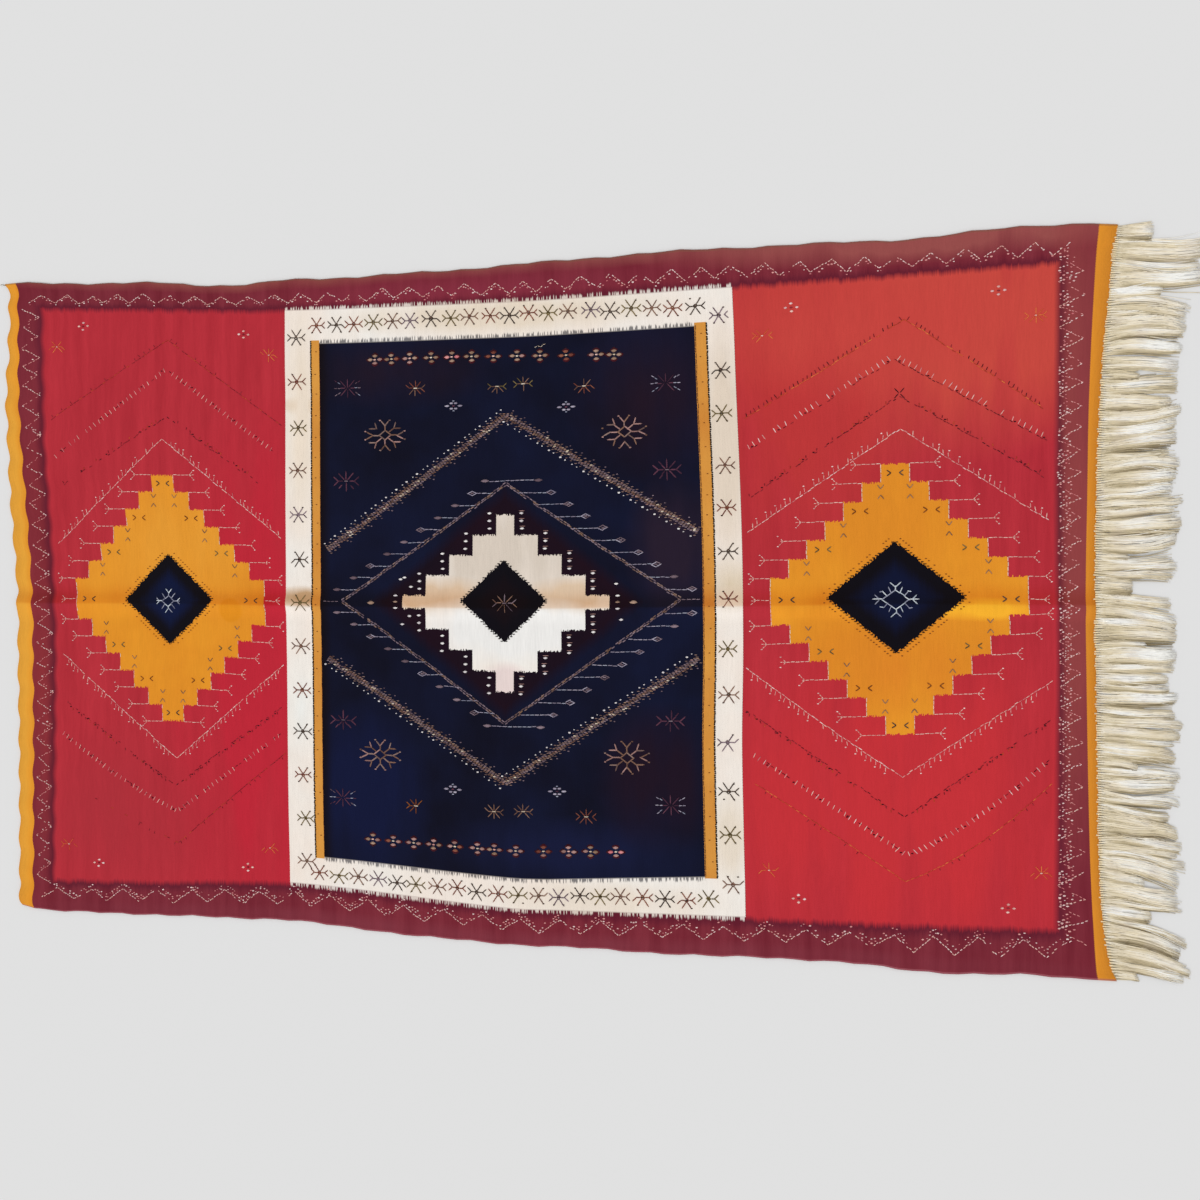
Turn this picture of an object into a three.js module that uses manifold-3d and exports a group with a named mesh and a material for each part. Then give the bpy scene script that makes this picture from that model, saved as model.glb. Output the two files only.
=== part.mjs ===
// Flat-woven wool rug with a warp fringe at one end, lying on the floor at z = 0.
// Millimetres, +Z up. X runs along the warp towards the fringe, Y runs along the weft.
// The origin ends up on the floor under the middle of the whole rug, fringe included.
import * as THREE from 'three';
import { mergeVertices } from 'three/addons/utils/BufferGeometryUtils.js';
import Module from 'manifold-3d';

// Driving sizes of the cloth
const clothLength = 2450;
const clothWidth = 1500;
const clothThickness = 3;
const halfLength = clothLength / 2;
const halfWidth = clothWidth / 2;

// The old lengthwise fold still stands up a little, near the middle of the width
const crease = { across: -17, height: 5, halfSpan: 26 };

// The plain end is scalloped where the first wefts draw in, and lifts a little there
const scallop = { wave: 78, depth: 3.2, lift: 2, reach: 60 };

// The selvedges wander by a few millimetres on top of the lines below
const selvedgeWave = { long: 310, short: 97, depth: 1.6 };

// Each end's line across the rug: how far it lies towards +X from a straight cut
const endLines = [
  { across: -750, plainEnd: 30, fringeEnd: 31 },
  { across: -735, plainEnd: 24, fringeEnd: 23 },
  { across: -675, plainEnd: 23, fringeEnd: 8 },
  { across: -595, plainEnd: 22, fringeEnd: 0 },
  { across: -500, plainEnd: 21, fringeEnd: -4 },
  { across: -300, plainEnd: 18, fringeEnd: -8 },
  { across: -130, plainEnd: 14, fringeEnd: -12 },
  { across: -15, plainEnd: 13, fringeEnd: -14 },
  { across: 85, plainEnd: 5, fringeEnd: -14 },
  { across: 225, plainEnd: -9, fringeEnd: -12 },
  { across: 350, plainEnd: -17, fringeEnd: -9 },
  { across: 470, plainEnd: -23, fringeEnd: -3 },
  { across: 565, plainEnd: -18, fringeEnd: 5 },
  { across: 685, plainEnd: -16, fringeEnd: 15 },
  { across: 735, plainEnd: -20, fringeEnd: 22 },
  { across: 750, plainEnd: -27, fringeEnd: 23 },
];

// Each selvedge's line along the rug: how far it lies outside a straight cut
const sideLines = [
  { along: -1225, upper: -3, lower: -6 },
  { along: -1200, upper: -1, lower: -1 },
  { along: -1140, upper: -5, lower: 6 },
  { along: -980, upper: -12, lower: 0 },
  { along: -820, upper: -19, lower: -1 },
  { along: -730, upper: -28, lower: -5 },
  { along: -610, upper: -33, lower: -8 },
  { along: -510, upper: -27, lower: -8 },
  { along: -340, upper: -28, lower: -1 },
  { along: -220, upper: -26, lower: 8 },
  { along: -60, upper: -22, lower: 10 },
  { along: 60, upper: -18, lower: 12 },
  { along: 220, upper: -12, lower: 9 },
  { along: 440, upper: -7, lower: 9 },
  { along: 550, upper: -7, lower: 3 },
  { along: 720, upper: -8, lower: 4 },
  { along: 860, upper: -8, lower: 10 },
  { along: 990, upper: 0, lower: 9 },
  { along: 1090, upper: 5, lower: 4 },
  { along: 1190, upper: 5, lower: 4 },
  { along: 1225, upper: 1, lower: 1 },
];

// Fringe: pairs of locks drawn together into clumps
const fringe = {
  clumps: 62,
  locksPerClump: 2,
  gapToCloth: 0.35,
  stripWidth: 7,
  stripHeight: 2.6,
  rootDepth: 3,
  cornerInset: 6,
  reach: 154,
  reachSpread: 9,
  drawTogether: 0.3,
  lockWidth: { root: 9.8, middle: 9, tip: 4.5 },
  lockHeight: { root: 4.4, middle: 5.2, tip: 2 },
  steps: 5,
};

// How far the fringe's tips drift towards +Y, and how far its locks bow sideways, by place across the rug
const fringeSweep = [
  { across: -750, drift: -14, bow: 0 },
  { across: -650, drift: -30, bow: 3 },
  { across: -560, drift: -20, bow: 2 },
  { across: -480, drift: -16, bow: 4 },
  { across: -400, drift: -10, bow: -2 },
  { across: -300, drift: -5, bow: 2 },
  { across: -200, drift: -5, bow: -3 },
  { across: -80, drift: -4, bow: 3 },
  { across: -10, drift: -14, bow: 4 },
  { across: 60, drift: 3, bow: -3 },
  { across: 130, drift: 7, bow: -4 },
  { across: 250, drift: 6, bow: 3 },
  { across: 350, drift: 8, bow: -5 },
  { across: 430, drift: -3, bow: -3 },
  { across: 520, drift: 0, bow: 7 },
  { across: 600, drift: -11, bow: 5 },
  { across: 680, drift: -6, bow: -4 },
  { across: 750, drift: -9, bow: 0 },
];

// Clumps that end well short of the others, or reach past them
const unevenClumps = [
  { across: 737, reach: 70 },
  { across: 716, reach: 178 },
  { across: 690, reach: 172 },
  { across: 664, reach: 98 },
  { across: 636, reach: 180 },
  { across: 611, reach: 100 },
  { across: 433, reach: 48 },
  { across: 230, reach: 40 },
  { across: 182, reach: 28 },
  { across: 83, reach: 92 },
  { across: -309, reach: 30 },
  { across: -556, reach: 74 },
  { across: -596, reach: 102 },
  { across: -666, reach: 108 },
  { across: -732, reach: 52 },
];

// Grid of the sheet: even steps, with closer lines at the crease and at the plain end
const gridStep = { along: 112, across: 30 };
const creaseOffsets = [-26, -17, -9, 0, 9, 17, 26];
const plainEndOffsets = [14, 40];

const colours = { cloth: 0xb4303a, fringe: 0xe6dcc2 };

// A smooth curve through one column of a table
function curveThrough(rows, place, column) {
  const xs = rows.map((row) => row[place]);
  const ys = rows.map((row) => row[column]);
  const last = xs.length - 1;
  const slope = (i) => {
    const a = Math.max(i - 1, 0);
    const b = Math.min(i + 1, last);
    return (ys[b] - ys[a]) / (xs[b] - xs[a]);
  };
  return (x) => {
    const at = Math.min(Math.max(x, xs[0]), xs[last]);
    let i = 0;
    while (i < last - 1 && at > xs[i + 1]) i += 1;
    const span = xs[i + 1] - xs[i];
    const t = (at - xs[i]) / span;
    const rise = t * t * (3 - 2 * t);
    const bend = t * (1 - t);
    return ys[i] + (ys[i + 1] - ys[i]) * rise
      + span * bend * ((1 - t) * slope(i) - t * slope(i + 1));
  };
}

const plainEndLine = curveThrough(endLines, 'across', 'plainEnd');
const fringeEndLine = curveThrough(endLines, 'across', 'fringeEnd');
const upperLine = curveThrough(sideLines, 'along', 'upper');
const lowerLine = curveThrough(sideLines, 'along', 'lower');
const driftLine = curveThrough(fringeSweep, 'across', 'drift');
const bowLine = curveThrough(fringeSweep, 'across', 'bow');

const fullTurn = 2 * Math.PI;
const wave = (x, length, shift) => Math.sin((fullTurn * x) / length + shift);

// Smooth hump of height 1 at 0 that ends at 1
const hump = (t) => (Math.abs(t) < 1 ? (1 + Math.cos(Math.PI * t)) / 2 : 0);

// An even but unordered number from 0 to 1 for each whole number
const scatter = (n) => {
  const s = Math.sin(n * 127.1 + 11.7) * 43758.5453;
  return s - Math.floor(s);
};

// Where a point of the straight cloth lies: along and across run over the straight cut
function layFlat(along, across) {
  const towardsFringe = (along + halfLength) / clothLength;
  const scallops = scallop.depth * wave(across, scallop.wave, 0.6) * (1 - towardsFringe) ** 12;
  const x = along + plainEndLine(across) * (1 - towardsFringe) + fringeEndLine(across) * towardsFringe + scallops;
  const wander = selvedgeWave.depth
    * (wave(along, selvedgeWave.long, across > 0 ? 0 : 2) + wave(along, selvedgeWave.short, across > 0 ? 1 : 4));
  const edge = (across > 0 ? upperLine(along) : lowerLine(along)) + wander;
  const y = across + (edge * across) / halfWidth;
  return [x, y];
}

// How far the cloth is lifted off the floor
function liftAt(along, across) {
  const ridge = crease.height * hump((across - crease.across) / crease.halfSpan);
  const unevenness = 0.75 + 0.25 * wave(along, 640, 1);
  const fromEnd = (along + halfLength) / scallop.reach;
  const endLift = fromEnd < 1 ? scallop.lift * (1 - fromEnd) * Math.max(wave(across, scallop.wave, 2.2), 0) : 0;
  return ridge * unevenness + endLift;
}

function gridLines(from, to, step, extras) {
  const count = Math.round((to - from) / step);
  const even = Array.from({ length: count + 1 }, (_, i) => from + ((to - from) * i) / count);
  const nearest = (step * 0.3) / 2;
  const kept = even.filter((v, i) => i === 0 || i === count || extras.every((e) => Math.abs(e - v) > nearest));
  return [...kept, ...extras].sort((a, b) => a - b);
}

const fringeHalfWidth = halfWidth - fringe.cornerInset;
const creaseLines = creaseOffsets.map((d) => d + crease.across);
const alongLines = gridLines(-halfLength, halfLength, gridStep.along, plainEndOffsets.map((d) => d - halfLength));
const acrossLines = gridLines(-halfWidth, halfWidth, gridStep.across, [
  -fringeHalfWidth,
  ...creaseLines,
  fringeHalfWidth,
]);

function bodyFrom(points, triangles) {
  const geometry = new THREE.BufferGeometry();
  geometry.setAttribute('position', new THREE.Float32BufferAttribute(points.flat(), 3));
  geometry.setIndex(triangles.flat());
  return geometry;
}

// One sheet of even thickness: the upper and lower grids, joined by a rim
function clothSheet() {
  const columns = alongLines.length;
  const rows = acrossLines.length;
  const layer = columns * rows;
  const points = [];
  for (const rise of [0, clothThickness]) {
    for (const across of acrossLines) {
      for (const along of alongLines) {
        points.push([...layFlat(along, across), liftAt(along, across) + rise]);
      }
    }
  }
  const at = (column, row) => row * columns + column;
  const triangles = [];
  for (let row = 0; row < rows - 1; row += 1) {
    for (let column = 0; column < columns - 1; column += 1) {
      const [a, b] = [at(column, row), at(column + 1, row)];
      const [c, d] = [at(column + 1, row + 1), at(column, row + 1)];
      triangles.push([a, c, b], [a, d, c]);
      triangles.push([a + layer, b + layer, c + layer], [a + layer, c + layer, d + layer]);
    }
  }
  const rim = [];
  for (let column = 0; column < columns - 1; column += 1) rim.push(at(column, 0));
  for (let row = 0; row < rows - 1; row += 1) rim.push(at(columns - 1, row));
  for (let column = columns - 1; column > 0; column -= 1) rim.push(at(column, rows - 1));
  for (let row = rows - 1; row > 0; row -= 1) rim.push(at(0, row));
  rim.forEach((a, i) => {
    const b = rim[(i + 1) % rim.length];
    triangles.push([a, b, b + layer], [a, b + layer, a + layer]);
  });
  return bodyFrom(points, triangles);
}

// A closed body from rings of points, each ring going round the same way
function loft(rings) {
  const sides = rings[0].length;
  const triangles = [];
  for (let ring = 0; ring < rings.length - 1; ring += 1) {
    for (let side = 0; side < sides; side += 1) {
      const next = (side + 1) % sides;
      const [a, b] = [ring * sides + side, ring * sides + next];
      triangles.push([a, b, b + sides], [a, b + sides, a + sides]);
    }
  }
  const end = (rings.length - 1) * sides;
  for (let side = 1; side < sides - 1; side += 1) {
    triangles.push([0, side + 1, side], [end, end + side, end + side + 1]);
  }
  return bodyFrom(rings.flat(), triangles);
}

// The narrow strip that stands for the warp ends where they leave the last weft
function rootStrip() {
  const lines = acrossLines.filter((across) => Math.abs(across) <= fringeHalfWidth);
  const rings = lines.map((across) => {
    const [edge, y] = layFlat(halfLength, across);
    const inner = edge + fringe.gapToCloth;
    const outer = inner + fringe.stripWidth;
    return [[inner, y, 0], [inner, y, fringe.stripHeight], [outer, y, fringe.stripHeight], [outer, y, 0]];
  });
  return loft(rings);
}

const threeWay = (t, { root, middle, tip }) => (
  t < 0.5 ? root + (middle - root) * 2 * t : middle + (tip - middle) * (2 * t - 1)
);

// One lock: three-sided, flat on the floor, with its ridge on top
function lock(clump, place) {
  const clumpPitch = (2 * fringeHalfWidth) / fringe.clumps;
  const lockPitch = clumpPitch / fringe.locksPerClump;
  const middle = -fringeHalfWidth + (clump + 0.5) * clumpPitch;
  const across = middle + (place - (fringe.locksPerClump - 1) / 2) * lockPitch;
  const [edge, y] = layFlat(halfLength, across);
  const start = edge + fringe.gapToCloth + fringe.stripWidth - fringe.rootDepth;
  const uneven = unevenClumps.find((row) => Math.abs(row.across - middle) < clumpPitch / 2);
  const n = clump * fringe.locksPerClump + place;
  const reach = (uneven ? uneven.reach : fringe.reach) + fringe.reachSpread * (scatter(n) * 2 - 1);
  const share = reach / fringe.reach;
  const rings = [];
  for (let step = 0; step <= fringe.steps; step += 1) {
    const t = step / fringe.steps;
    const x = start + reach * t;
    const far = t * Math.min(share, 1);
    const together = fringe.drawTogether * far * (middle - across);
    const centre = y + together + driftLine(across) * far ** 1.2 + bowLine(across) * Math.sin(Math.PI * far);
    const width = threeWay(t, fringe.lockWidth);
    const height = threeWay(t, fringe.lockHeight);
    rings.push([[x, centre - width / 2, 0], [x, centre + width / 2, 0], [x, centre, height]]);
  }
  return loft(rings);
}

const wasm = await Module();
wasm.setup();

function solidOf(geometry) {
  const merged = mergeVertices(geometry);
  return new wasm.Manifold(new wasm.Mesh({
    numProp: 3,
    vertProperties: new Float32Array(merged.attributes.position.array),
    triVerts: new Uint32Array(merged.index.array),
  }));
}

function geometryOf(solid) {
  const mesh = solid.getMesh();
  const geometry = new THREE.BufferGeometry();
  geometry.setAttribute('position', new THREE.BufferAttribute(new Float32Array(mesh.vertProperties), 3));
  geometry.setIndex(new THREE.BufferAttribute(new Uint32Array(mesh.triVerts), 1));
  return geometry;
}

function warpFringe() {
  let joined = solidOf(rootStrip());
  for (let clump = 0; clump < fringe.clumps; clump += 1) {
    for (let place = 0; place < fringe.locksPerClump; place += 1) {
      joined = joined.add(solidOf(lock(clump, place)));
    }
  }
  return geometryOf(joined);
}

function named(name, geometry, colour, roughness) {
  geometry.computeVertexNormals();
  const material = new THREE.MeshStandardMaterial({ color: colour, roughness, metalness: 0 });
  const mesh = new THREE.Mesh(geometry, material);
  mesh.name = name;
  return mesh;
}

const group = new THREE.Group();
group.add(named('rug_cloth', clothSheet(), colours.cloth, 0.95));
group.add(named('warp_fringe', warpFringe(), colours.fringe, 0.9));

// The rug is moved so that the middle of its whole length and width is at the origin
const box = new THREE.Box3().setFromObject(group);
const middle = box.getCenter(new THREE.Vector3());
group.position.set(-middle.x, -middle.y, 0);

export default group;
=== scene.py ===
import math
import bpy
import numpy as np
from mathutils import Matrix, Vector


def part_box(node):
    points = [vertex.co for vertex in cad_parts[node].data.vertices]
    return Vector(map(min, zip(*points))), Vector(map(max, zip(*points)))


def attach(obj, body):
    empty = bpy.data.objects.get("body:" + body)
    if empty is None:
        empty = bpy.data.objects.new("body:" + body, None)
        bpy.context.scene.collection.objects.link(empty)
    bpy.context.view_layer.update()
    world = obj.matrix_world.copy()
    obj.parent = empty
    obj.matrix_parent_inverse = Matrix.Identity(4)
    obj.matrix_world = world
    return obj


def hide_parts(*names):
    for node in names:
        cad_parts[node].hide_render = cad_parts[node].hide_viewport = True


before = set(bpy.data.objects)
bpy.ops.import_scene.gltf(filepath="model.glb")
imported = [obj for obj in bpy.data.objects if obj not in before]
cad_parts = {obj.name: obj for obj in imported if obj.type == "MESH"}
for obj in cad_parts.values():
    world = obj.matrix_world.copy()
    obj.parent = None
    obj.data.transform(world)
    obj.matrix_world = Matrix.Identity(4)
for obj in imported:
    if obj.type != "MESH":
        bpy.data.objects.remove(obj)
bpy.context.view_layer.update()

# Flat-woven wool rug on a pale floor. The warp runs along X and the weft along Y.
# p and q are a point's place on the straight cloth, in mm: p along the warp towards the fringe, q along the
# weft towards the upper selvedge.

mm = 0.001
turn = 2 * math.pi
random = np.random.default_rng(21)


def linear(colour):
    # sRGB hex to the linear values that Blender's sockets take
    values = [int(colour[i:i + 2], 16) / 255 for i in (1, 3, 5)]
    return [v / 12.92 if v < 0.04045 else ((v + 0.055) / 1.055) ** 2.4 for v in values] + [1.0]


def addNode(tree, kind, inputs=None, output=0, **settings):
    # One node with its settings and links. A value that is a socket is linked
    node = tree.nodes.new(kind)
    for name, value in settings.items():
        setattr(node, name, value)
    for socket, value in (inputs or {}).items():
        if isinstance(value, bpy.types.NodeSocket):
            tree.links.new(value, node.inputs[socket])
        else:
            node.inputs[socket].default_value = value
    return node.outputs[output]


colourMix = {"output": 2, "data_type": "RGBA"}  # settings of a mix of two colours: 0 share, 6 below, 7 above
softStep = {"interpolation_type": "SMOOTHSTEP"}


def startMaterial(name, roughness, sheen):
    material = bpy.data.materials.new(name)
    material.use_nodes = True
    tree = material.node_tree
    tree.nodes.clear()
    shader = addNode(tree, "ShaderNodeBsdfPrincipled", {
        "Roughness": roughness, "Specular IOR Level": 0.04, "IOR": 1.54,
        "Sheen Weight": sheen, "Sheen Roughness": 0.6}).node
    tree.links.new(shader.outputs[0], tree.nodes.new("ShaderNodeOutputMaterial").inputs[0])
    return material, tree, shader


def curveThrough(rows, column):
    # A smooth curve through one column of a table, flat beyond its ends
    xs = np.array([row[0] for row in rows], float)
    ys = np.array([row[column] for row in rows], float)
    before = np.maximum(np.arange(len(xs)) - 1, 0)
    after = np.minimum(np.arange(len(xs)) + 1, len(xs) - 1)
    slopes = (ys[after] - ys[before]) / (xs[after] - xs[before])

    def at(x):
        x = np.clip(np.asarray(x, float), xs[0], xs[-1])
        i = np.clip(np.searchsorted(xs, x, side="right") - 1, 0, len(xs) - 2)
        span = xs[i + 1] - xs[i]
        t = (x - xs[i]) / span
        return ys[i] + (ys[i + 1] - ys[i]) * t * t * (3 - 2 * t) + span * t * (1 - t) * (
            (1 - t) * slopes[i] - t * slopes[i + 1])
    return at


def wave(x, length, shift):
    return np.sin(turn * x / length + shift)


def hump(t):
    return np.where(np.abs(t) < 1, (1 + np.cos(math.pi * t)) / 2, 0)


def between(value, stops):
    # Straight runs between shifts that each hold at one place
    shift = stops[0][1] + 0 * value
    for (a, left), (b, right) in zip(stops, stops[1:]):
        t = np.clip((value - a) / (b - a), 0, 1)
        shift = np.where(value >= a, left + (right - left) * t, shift)
    return shift


# How the hand-woven cloth departs from a true rectangle
lie = {
    "halfLength": 1225, "halfWidth": 750,
    # q, then how far each line across the rug lies towards +X: plain end, border, frame, frame, border,
    # yellow edge, fringe end
    "across": [
        (-750, 30, 30, 22, 11, 19, 0, 12, 31), (-735, 24, 27, 22, 11, 19, 0, 11, 23),
        (-675, 23, 27, 22, 10, 18, 0, 10, 8), (-595, 22, 27, 22, 8, 16, 0, 6, 0),
        (-500, 21, 26, 22, 5, 13, 1, 1, -4), (-300, 18, 25, 23, 1, 8, 1, -6, -8),
        (-130, 14, 22, 23, -2, 9, 2, -10, -12), (-15, 13, 20, 20, -5, 8, 0, -12, -14),
        (85, 5, 13, 13, -6, 6, -3, -11, -14), (225, -9, 0, 1, -8, 1, -5, -9, -12),
        (350, -17, -14, -11, -9, -5, -5, -9, -9), (470, -23, -22, -14, -10, -11, -5, -7, -3),
        (565, -18, -24, -17, -12, -15, -5, -5, 5), (685, -16, -26, -20, -13, -21, -5, 0, 15),
        (735, -20, -28, -22, -14, -23, -5, 3, 22), (750, -27, -30, -22, -14, -23, -5, 4, 23)],
    "acrossAt": (-1225, -1192, -1130, -515, 508, 1140, 1205, 1225),
    # p, then how far the upper and lower selvedges lie outwards
    "sides": [
        (-1225, -3, -6), (-1200, -1, -1), (-1140, -5, 6), (-980, -12, 0), (-820, -19, -1), (-730, -28, -5),
        (-610, -33, -8), (-510, -27, -8), (-340, -28, -1), (-220, -26, 8), (-60, -22, 10), (60, -18, 12),
        (220, -12, 9), (440, -7, 9), (550, -7, 3), (720, -8, 4), (860, -8, 10), (990, 0, 9), (1090, 5, 4),
        (1190, 5, 4), (1225, 1, 1)],
    # p, then how far the red panels' lower edge, the middle and the upper edge lie towards +Y
    "along": [
        (-1225, -12, -8, 16), (-1140, -11, -8, 16), (-865, -2, -7, 2), (-520, 14, -10, -14),
        (0, -15, -12, -18), (120, -12, -11, -17), (500, -3, -3, -8), (835, 3, 4, 0), (1140, 11, 4, 11),
        (1225, 11, 4, 11)],
    "alongAt": (-672, 0, 670),
    "crease": {"y": -17, "height": 5, "halfSpan": 26},
    "scallop": {"wave": 78, "depth": 3.2, "lift": 2, "reach": 60},
    "selvedgeWave": {"long": 310, "short": 97, "depth": 1.6},
}
acrossLines = [curveThrough(lie["across"], column) for column in range(1, 9)]
sideLines = [curveThrough(lie["sides"], column) for column in (1, 2)]
alongLines = [curveThrough(lie["along"], column) for column in (1, 2, 3)]
upperLine, lowerLine = sideLines


def wander(p, q):
    size = lie["selvedgeWave"]
    slow = wave(p, size["long"], np.where(q > 0, 0, 2))
    return size["depth"] * (slow + wave(p, size["short"], np.where(q > 0, 1, 4)))


def layOut(p, q):
    # Where a point of the straight cloth lies on the floor, before the whole is centred
    toFringe = (p + lie["halfLength"]) / (2 * lie["halfLength"])
    scallop = lie["scallop"]
    scallops = scallop["depth"] * wave(q, scallop["wave"], 0.6) * np.clip(1 - toFringe, 0, 1) ** 12
    x = p + between(p, [(at, line(q)) for at, line in zip(lie["acrossAt"], acrossLines)]) + scallops
    shifts = [(-lie["halfWidth"], -(lowerLine(p) + wander(p, q)))]
    shifts += [(at, line(p)) for at, line in zip(lie["alongAt"], alongLines)]
    shifts += [(lie["halfWidth"], upperLine(p) + wander(p, q))]
    return x, q + between(q, shifts)


def liftAt(p, y):
    # How far the cloth stands off the floor
    crease, scallop = lie["crease"], lie["scallop"]
    ridge = crease["height"] * hump((y - crease["y"]) / crease["halfSpan"]) * (0.75 + 0.25 * wave(p, 640, 1))
    fromEnd = np.clip((p + lie["halfLength"]) / scallop["reach"], 0, 1)
    return ridge + scallop["lift"] * (1 - fromEnd) * np.maximum(wave(y, scallop["wave"], 2.2), 0)


# The whole rug is centred in the frame: the cloth's box gives the shift
edgeQ = np.linspace(-lie["halfWidth"], lie["halfWidth"], 3001)
edgeP = np.linspace(-lie["halfLength"], lie["halfLength"], 3001)
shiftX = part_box("rug_cloth")[0][0] / mm - layOut(np.full_like(edgeQ, -lie["halfLength"]), edgeQ)[0].min()
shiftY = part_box("rug_cloth")[0][1] / mm - layOut(edgeP, np.full_like(edgeP, -lie["halfWidth"]))[1].min()
print("shift of the cloth, mm:", round(shiftX, 2), round(shiftY, 2))


def place(p, q):
    x, y = layOut(p, q)
    return x + shiftX, y + shiftY, liftAt(p, y)


# Floor, light and camera
stage = {"floor": "#e4e4e4", "floorSize": 14, "sky": 0.78, "key": 0.75, "keyAngle": (38, -30), "keySize": 20}
bpy.ops.object.select_all(action="DESELECT")
bpy.ops.mesh.primitive_plane_add(size=stage["floorSize"], location=(0, 0, -0.0004))
floor = bpy.context.object
floor.name = "paleFloor"
floorMaterial, floorShader = startMaterial("matt studio floor", 1.0, 0.0)[::2]
floorShader.inputs["Base Color"].default_value = linear(stage["floor"])
floorShader.inputs["Specular IOR Level"].default_value = 0
floor.data.materials.append(floorMaterial)

world = bpy.data.worlds.new("studioRoom")
world.use_nodes = True
world.node_tree.nodes["Background"].inputs[0].default_value = (1, 1, 1, 1)
world.node_tree.nodes["Background"].inputs[1].default_value = stage["sky"]
bpy.context.scene.world = world

keyData = bpy.data.lights.new("softKey", "SUN")
keyData.energy = stage["key"]
keyData.angle = math.radians(stage["keySize"])
key = bpy.data.objects.new("softKey", keyData)
key.rotation_euler = (math.radians(stage["keyAngle"][0]), 0, math.radians(stage["keyAngle"][1]))
bpy.context.scene.collection.objects.link(key)

view = {"lens": 30.68, "target": (208, -4.3), "stand": (385, 2182), "roll": 0.39}
target = Vector((view["target"][0] + shiftX, view["target"][1] + shiftY, 0)) * mm
eye = target + Vector((view["stand"][0], 0, view["stand"][1])) * mm
forward = (target - eye).normalized()
up = Vector((0, 1, 0))
right = forward.cross(up).normalized()
roll = math.radians(view["roll"])
imageRight = right * math.cos(roll) + up * math.sin(roll)
imageUp = up * math.cos(roll) - right * math.sin(roll)
cameraData = bpy.data.cameras.new("photoCamera")
cameraData.lens = view["lens"]
cameraData.sensor_width = 36
camera = bpy.data.objects.new("photoCamera", cameraData)
camera.matrix_world = Matrix.Translation(eye) @ Matrix((imageRight, imageUp, -forward)).transposed().to_4x4()
bpy.context.scene.collection.objects.link(camera)
bpy.context.scene.camera = camera
bpy.context.scene.view_settings.view_transform = "Standard"
print("stage: floor, key light and camera")

# Woven cloth: the ribs over the warp ends are real relief, 5 mm apart
cloth = {"ribs": 300, "columns": 80, "ribHeight": 0.35, "selvedgeRoll": 0.7, "thickness": 3}
bpy.ops.object.select_all(action="DESELECT")
bpy.ops.mesh.primitive_grid_add(x_subdivisions=cloth["columns"], y_subdivisions=2 * cloth["ribs"], size=1)
wovenCloth = bpy.context.object
wovenCloth.name = "wovenCloth"
mesh = wovenCloth.data
points = np.empty(len(mesh.vertices) * 3)
mesh.vertices.foreach_get("co", points)
points = points.reshape(-1, 3)
clothP = points[:, 0] * 2 * lie["halfLength"]
clothQ = points[:, 1] * 2 * lie["halfWidth"]
ribTop = np.round(points[:, 1] * 2 * cloth["ribs"]).astype(int) % 2
x, y, lift = place(clothP, clothQ)
fromSelvedge = (lie["halfWidth"] - np.abs(clothQ)) / 9
roll = cloth["selvedgeRoll"] * np.clip(1 - (fromSelvedge - 0.5) ** 2 * 2, 0, 1)
z = lift + cloth["thickness"] + cloth["ribHeight"] * ribTop + roll
mesh.vertices.foreach_set("co", (np.column_stack([x, y, z]) * mm).ravel())
loopVertex = np.empty(len(mesh.loops), int)
mesh.loops.foreach_get("vertex_index", loopVertex)
while mesh.uv_layers:
    mesh.uv_layers.remove(mesh.uv_layers[0])
weaveMap = mesh.uv_layers.new(name="weave")  # p and q in metres
weaveMap.data.foreach_set("uv", (np.column_stack([clothP, clothQ])[loopVertex] * mm).ravel())
topVertices = len(mesh.vertices)
solidify = wovenCloth.modifiers.new("thickness", "SOLIDIFY")
solidify.thickness = cloth["thickness"] * mm
solidify.offset = -1
bpy.ops.object.modifier_apply(modifier="thickness")
bpy.ops.object.shade_smooth()
print("woven cloth:", len(wovenCloth.data.polygons), "faces")


# The cloth's bake map: its upper face takes most of it, its underside the rest, and the rim four thin rows
# between them
clothMap = {"margin": 0.004, "span": 0.992, "topFrom": 0.305, "topSpan": 0.69, "underSpan": 0.262,
            "rimFrom": 0.271, "rimRow": 0.008, "rimWidth": 0.004, "rimReach": 0.0005}


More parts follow.
